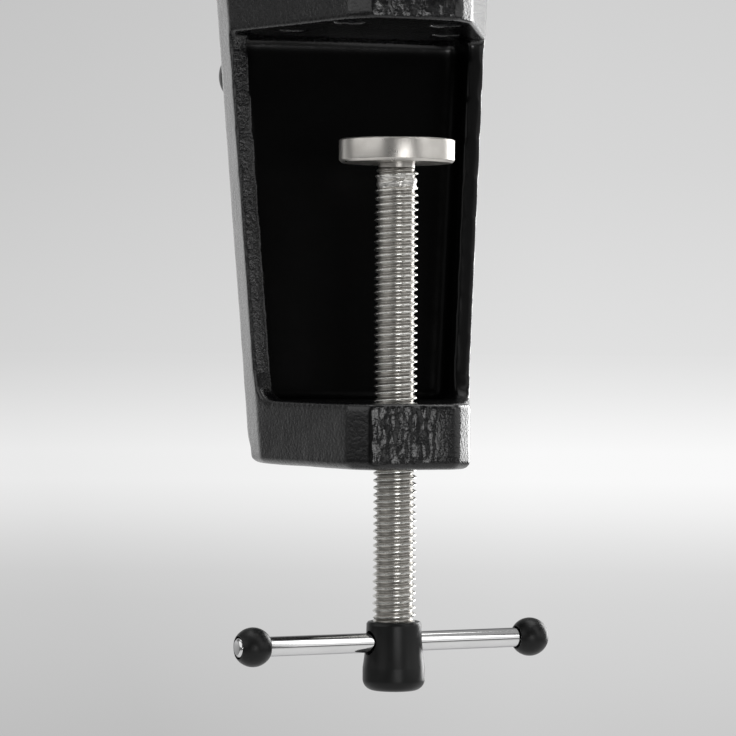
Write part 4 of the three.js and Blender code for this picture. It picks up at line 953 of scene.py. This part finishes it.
def seenLevel(tree, glossLevel, headingX):
    # How bright the backdrop is: the camera's rays get the level of their side, the others gloss's own
    path = addNode(tree, "LightPath").outputs
    sideways = addNode(tree, "MapRange", {"Value": headingX, **sideLevel})
    return addNode(tree, "Mix", {0: path["Is Camera Ray"], 2: glossLevel, 3: sideways})


def makeFloor(spec):
    # Near the object the disc is lit and takes its shadow. Further off it shows the studio's soft band
    # of light, as a shade of reach / (distance + shift).
    angle = np.linspace(0, 2 * np.pi, spec["sides"] + 1)[None]
    radius = spec["radius"] * np.array(spec["rings"])[:, None]
    points = np.stack([radius * np.cos(angle), radius * np.sin(angle),
                       spec["height"] + 0 * radius * angle], axis=-1) / millimetre
    mesh = gridMesh("studioFloor", points)
    material = bpy.data.materials.new("paleStudioFloor")
    tree = clearedTree(material)
    place = addNode(tree, "TexCoord").outputs["Object"]
    distance = addNode(tree, "VectorMath", {0: place}, operation="LENGTH").outputs["Value"]
    heading = addNode(tree, "VectorMath", {0: place}, operation="NORMALIZE")
    parts = addNode(tree, "SeparateXYZ", {"Vector": heading}).outputs
    further = addNode(tree, "Math", {0: distance, 1: spec["shadeShift"]}, operation="ADD")
    share = addNode(tree, "Math", {0: spec["shadeReach"], 1: further}, operation="DIVIDE")
    shade = addNode(tree, "ValToRGB", {"Fac": share}, stops=spec["shades"])
    gloss = addNode(tree, "MapRange", {"Value": parts["Y"], **spec["gloss"]}, **gently)
    glow = addNode(tree, "Emission",
                   {"Color": shade, "Strength": seenLevel(tree, gloss, parts["X"])})
    matte = addNode(tree, "BsdfDiffuse", {"Color": spec["colour"]})
    away = addNode(tree, "MapRange", {"Value": distance, **spec["away"]}, **gently)
    both = addNode(tree, "Math", {0: seenRay(tree), 1: away}, operation="MULTIPLY")
    mixed = addNode(tree, "MixShader", {0: both, 1: matte, 2: glow})
    addNode(tree, "OutputMaterial", {"Surface": mixed})
    mesh.materials.append(material)
    piece = newObject("studio_floor", mesh)


def makeWorld(spec):
    # What is seen is a pale wall, a little darker upwards; dull surfaces get an even soft light. The
    # room in front of the clamp is unlit, so gloss sees only the wall behind it and the ceiling.
    world = bpy.data.worlds.new("studioRoom")
    bpy.context.scene.world = world
    tree = clearedTree(world)
    direction = addNode(tree, "TexCoord").outputs["Generated"]
    parts = addNode(tree, "SeparateXYZ", {"Vector": direction}).outputs
    wall = addNode(tree, "MapRange", {"Value": parts["Y"], **spec["wall"]}, **gently)
    ceiling = addNode(tree, "MapRange", {"Value": parts["Z"], **spec["ceiling"]}, **gently)
    gloss = addNode(tree, "Math", {0: wall, 1: ceiling}, operation="MAXIMUM")
    height = addNode(tree, "MapRange", {"Value": parts["Z"], **spec["height"]})
    shade = addNode(tree, "ValToRGB", {"Fac": height}, stops=spec["shades"])
    backdrop = addNode(tree, "Background",
                       {"Color": shade, "Strength": seenLevel(tree, gloss, parts["X"])})
    soft = addNode(tree, "Background",
                   {"Color": spec["ambientColour"], "Strength": spec["ambient"]})
    mixed = addNode(tree, "MixShader", {0: seenRay(tree), 1: soft, 2: backdrop})
    addNode(tree, "OutputWorld", {"Surface": mixed})


lamps = {  # place and size in metres, power in watts
    "sideLamp": {"place": (1.13, 0.73, 0.05), "size": (0.7, 1.1), "power": 16.0},
    "frontLamp": {"place": (-0.015, -1.3, -0.14), "size": (0.5, 0.28), "power": 2.3},
    "rightLamp": {"place": (1.17, -0.68, 0.12), "size": (1.6, 0.8), "power": 3.0},
    "barLamp": {"place": (0.8, -0.95, 0.8), "size": (0.4, 1.2), "power": 2.6},
    "leftLamp": {"place": (-1.31, -0.23, 0.46), "size": (2.0, 1.0), "power": 5.8},
    "topLamp": {"place": (0.1, 0.1, 1.7), "size": (1.4, 1.4), "power": 14.0},
}


def makeLamps(specs):
    # Each lamp is a soft rectangle turned to the middle of the object
    for name, spec in specs.items():
        light = bpy.data.lights.new(name, "AREA")
        light.shape = "RECTANGLE"
        light.size, light.size_y = spec["size"]
        light.energy = spec["power"]
        lamp = newObject(name, light)
        lamp.location = spec["place"]
        lamp.rotation_euler = (-lamp.location).to_track_quat("-Z", "Y").to_euler()
        lamp.visible_camera = False


# The eye in metres, the turns in degrees
camera = {"eye": (-0.2148, -0.7186, -0.0671), "pitch": 89.38, "yaw": -16.18, "roll": 0.35,
          "lens": 166.96, "sensor": 36.0}


def makeCamera(spec):
    # A camera under the table's level that looks out past the clamp
    view = bpy.data.cameras.new("photoCamera")
    view.lens = spec["lens"]
    view.sensor_width = spec["sensor"]
    holder = newObject("photoCamera", view)
    yaw, pitch, roll = (Matrix.Rotation(math.radians(spec[name]), 4, axis)
                        for name, axis in (("yaw", "Z"), ("pitch", "X"), ("roll", "Z")))
    holder.matrix_world = Matrix.Translation(spec["eye"]) @ (yaw @ pitch @ roll)
    bpy.context.scene.camera = holder


makeFloor(floor)
makeWorld(room)
makeLamps(lamps)
makeCamera(camera)
bpy.context.scene.view_settings.view_transform = "Standard"
print("studio made")
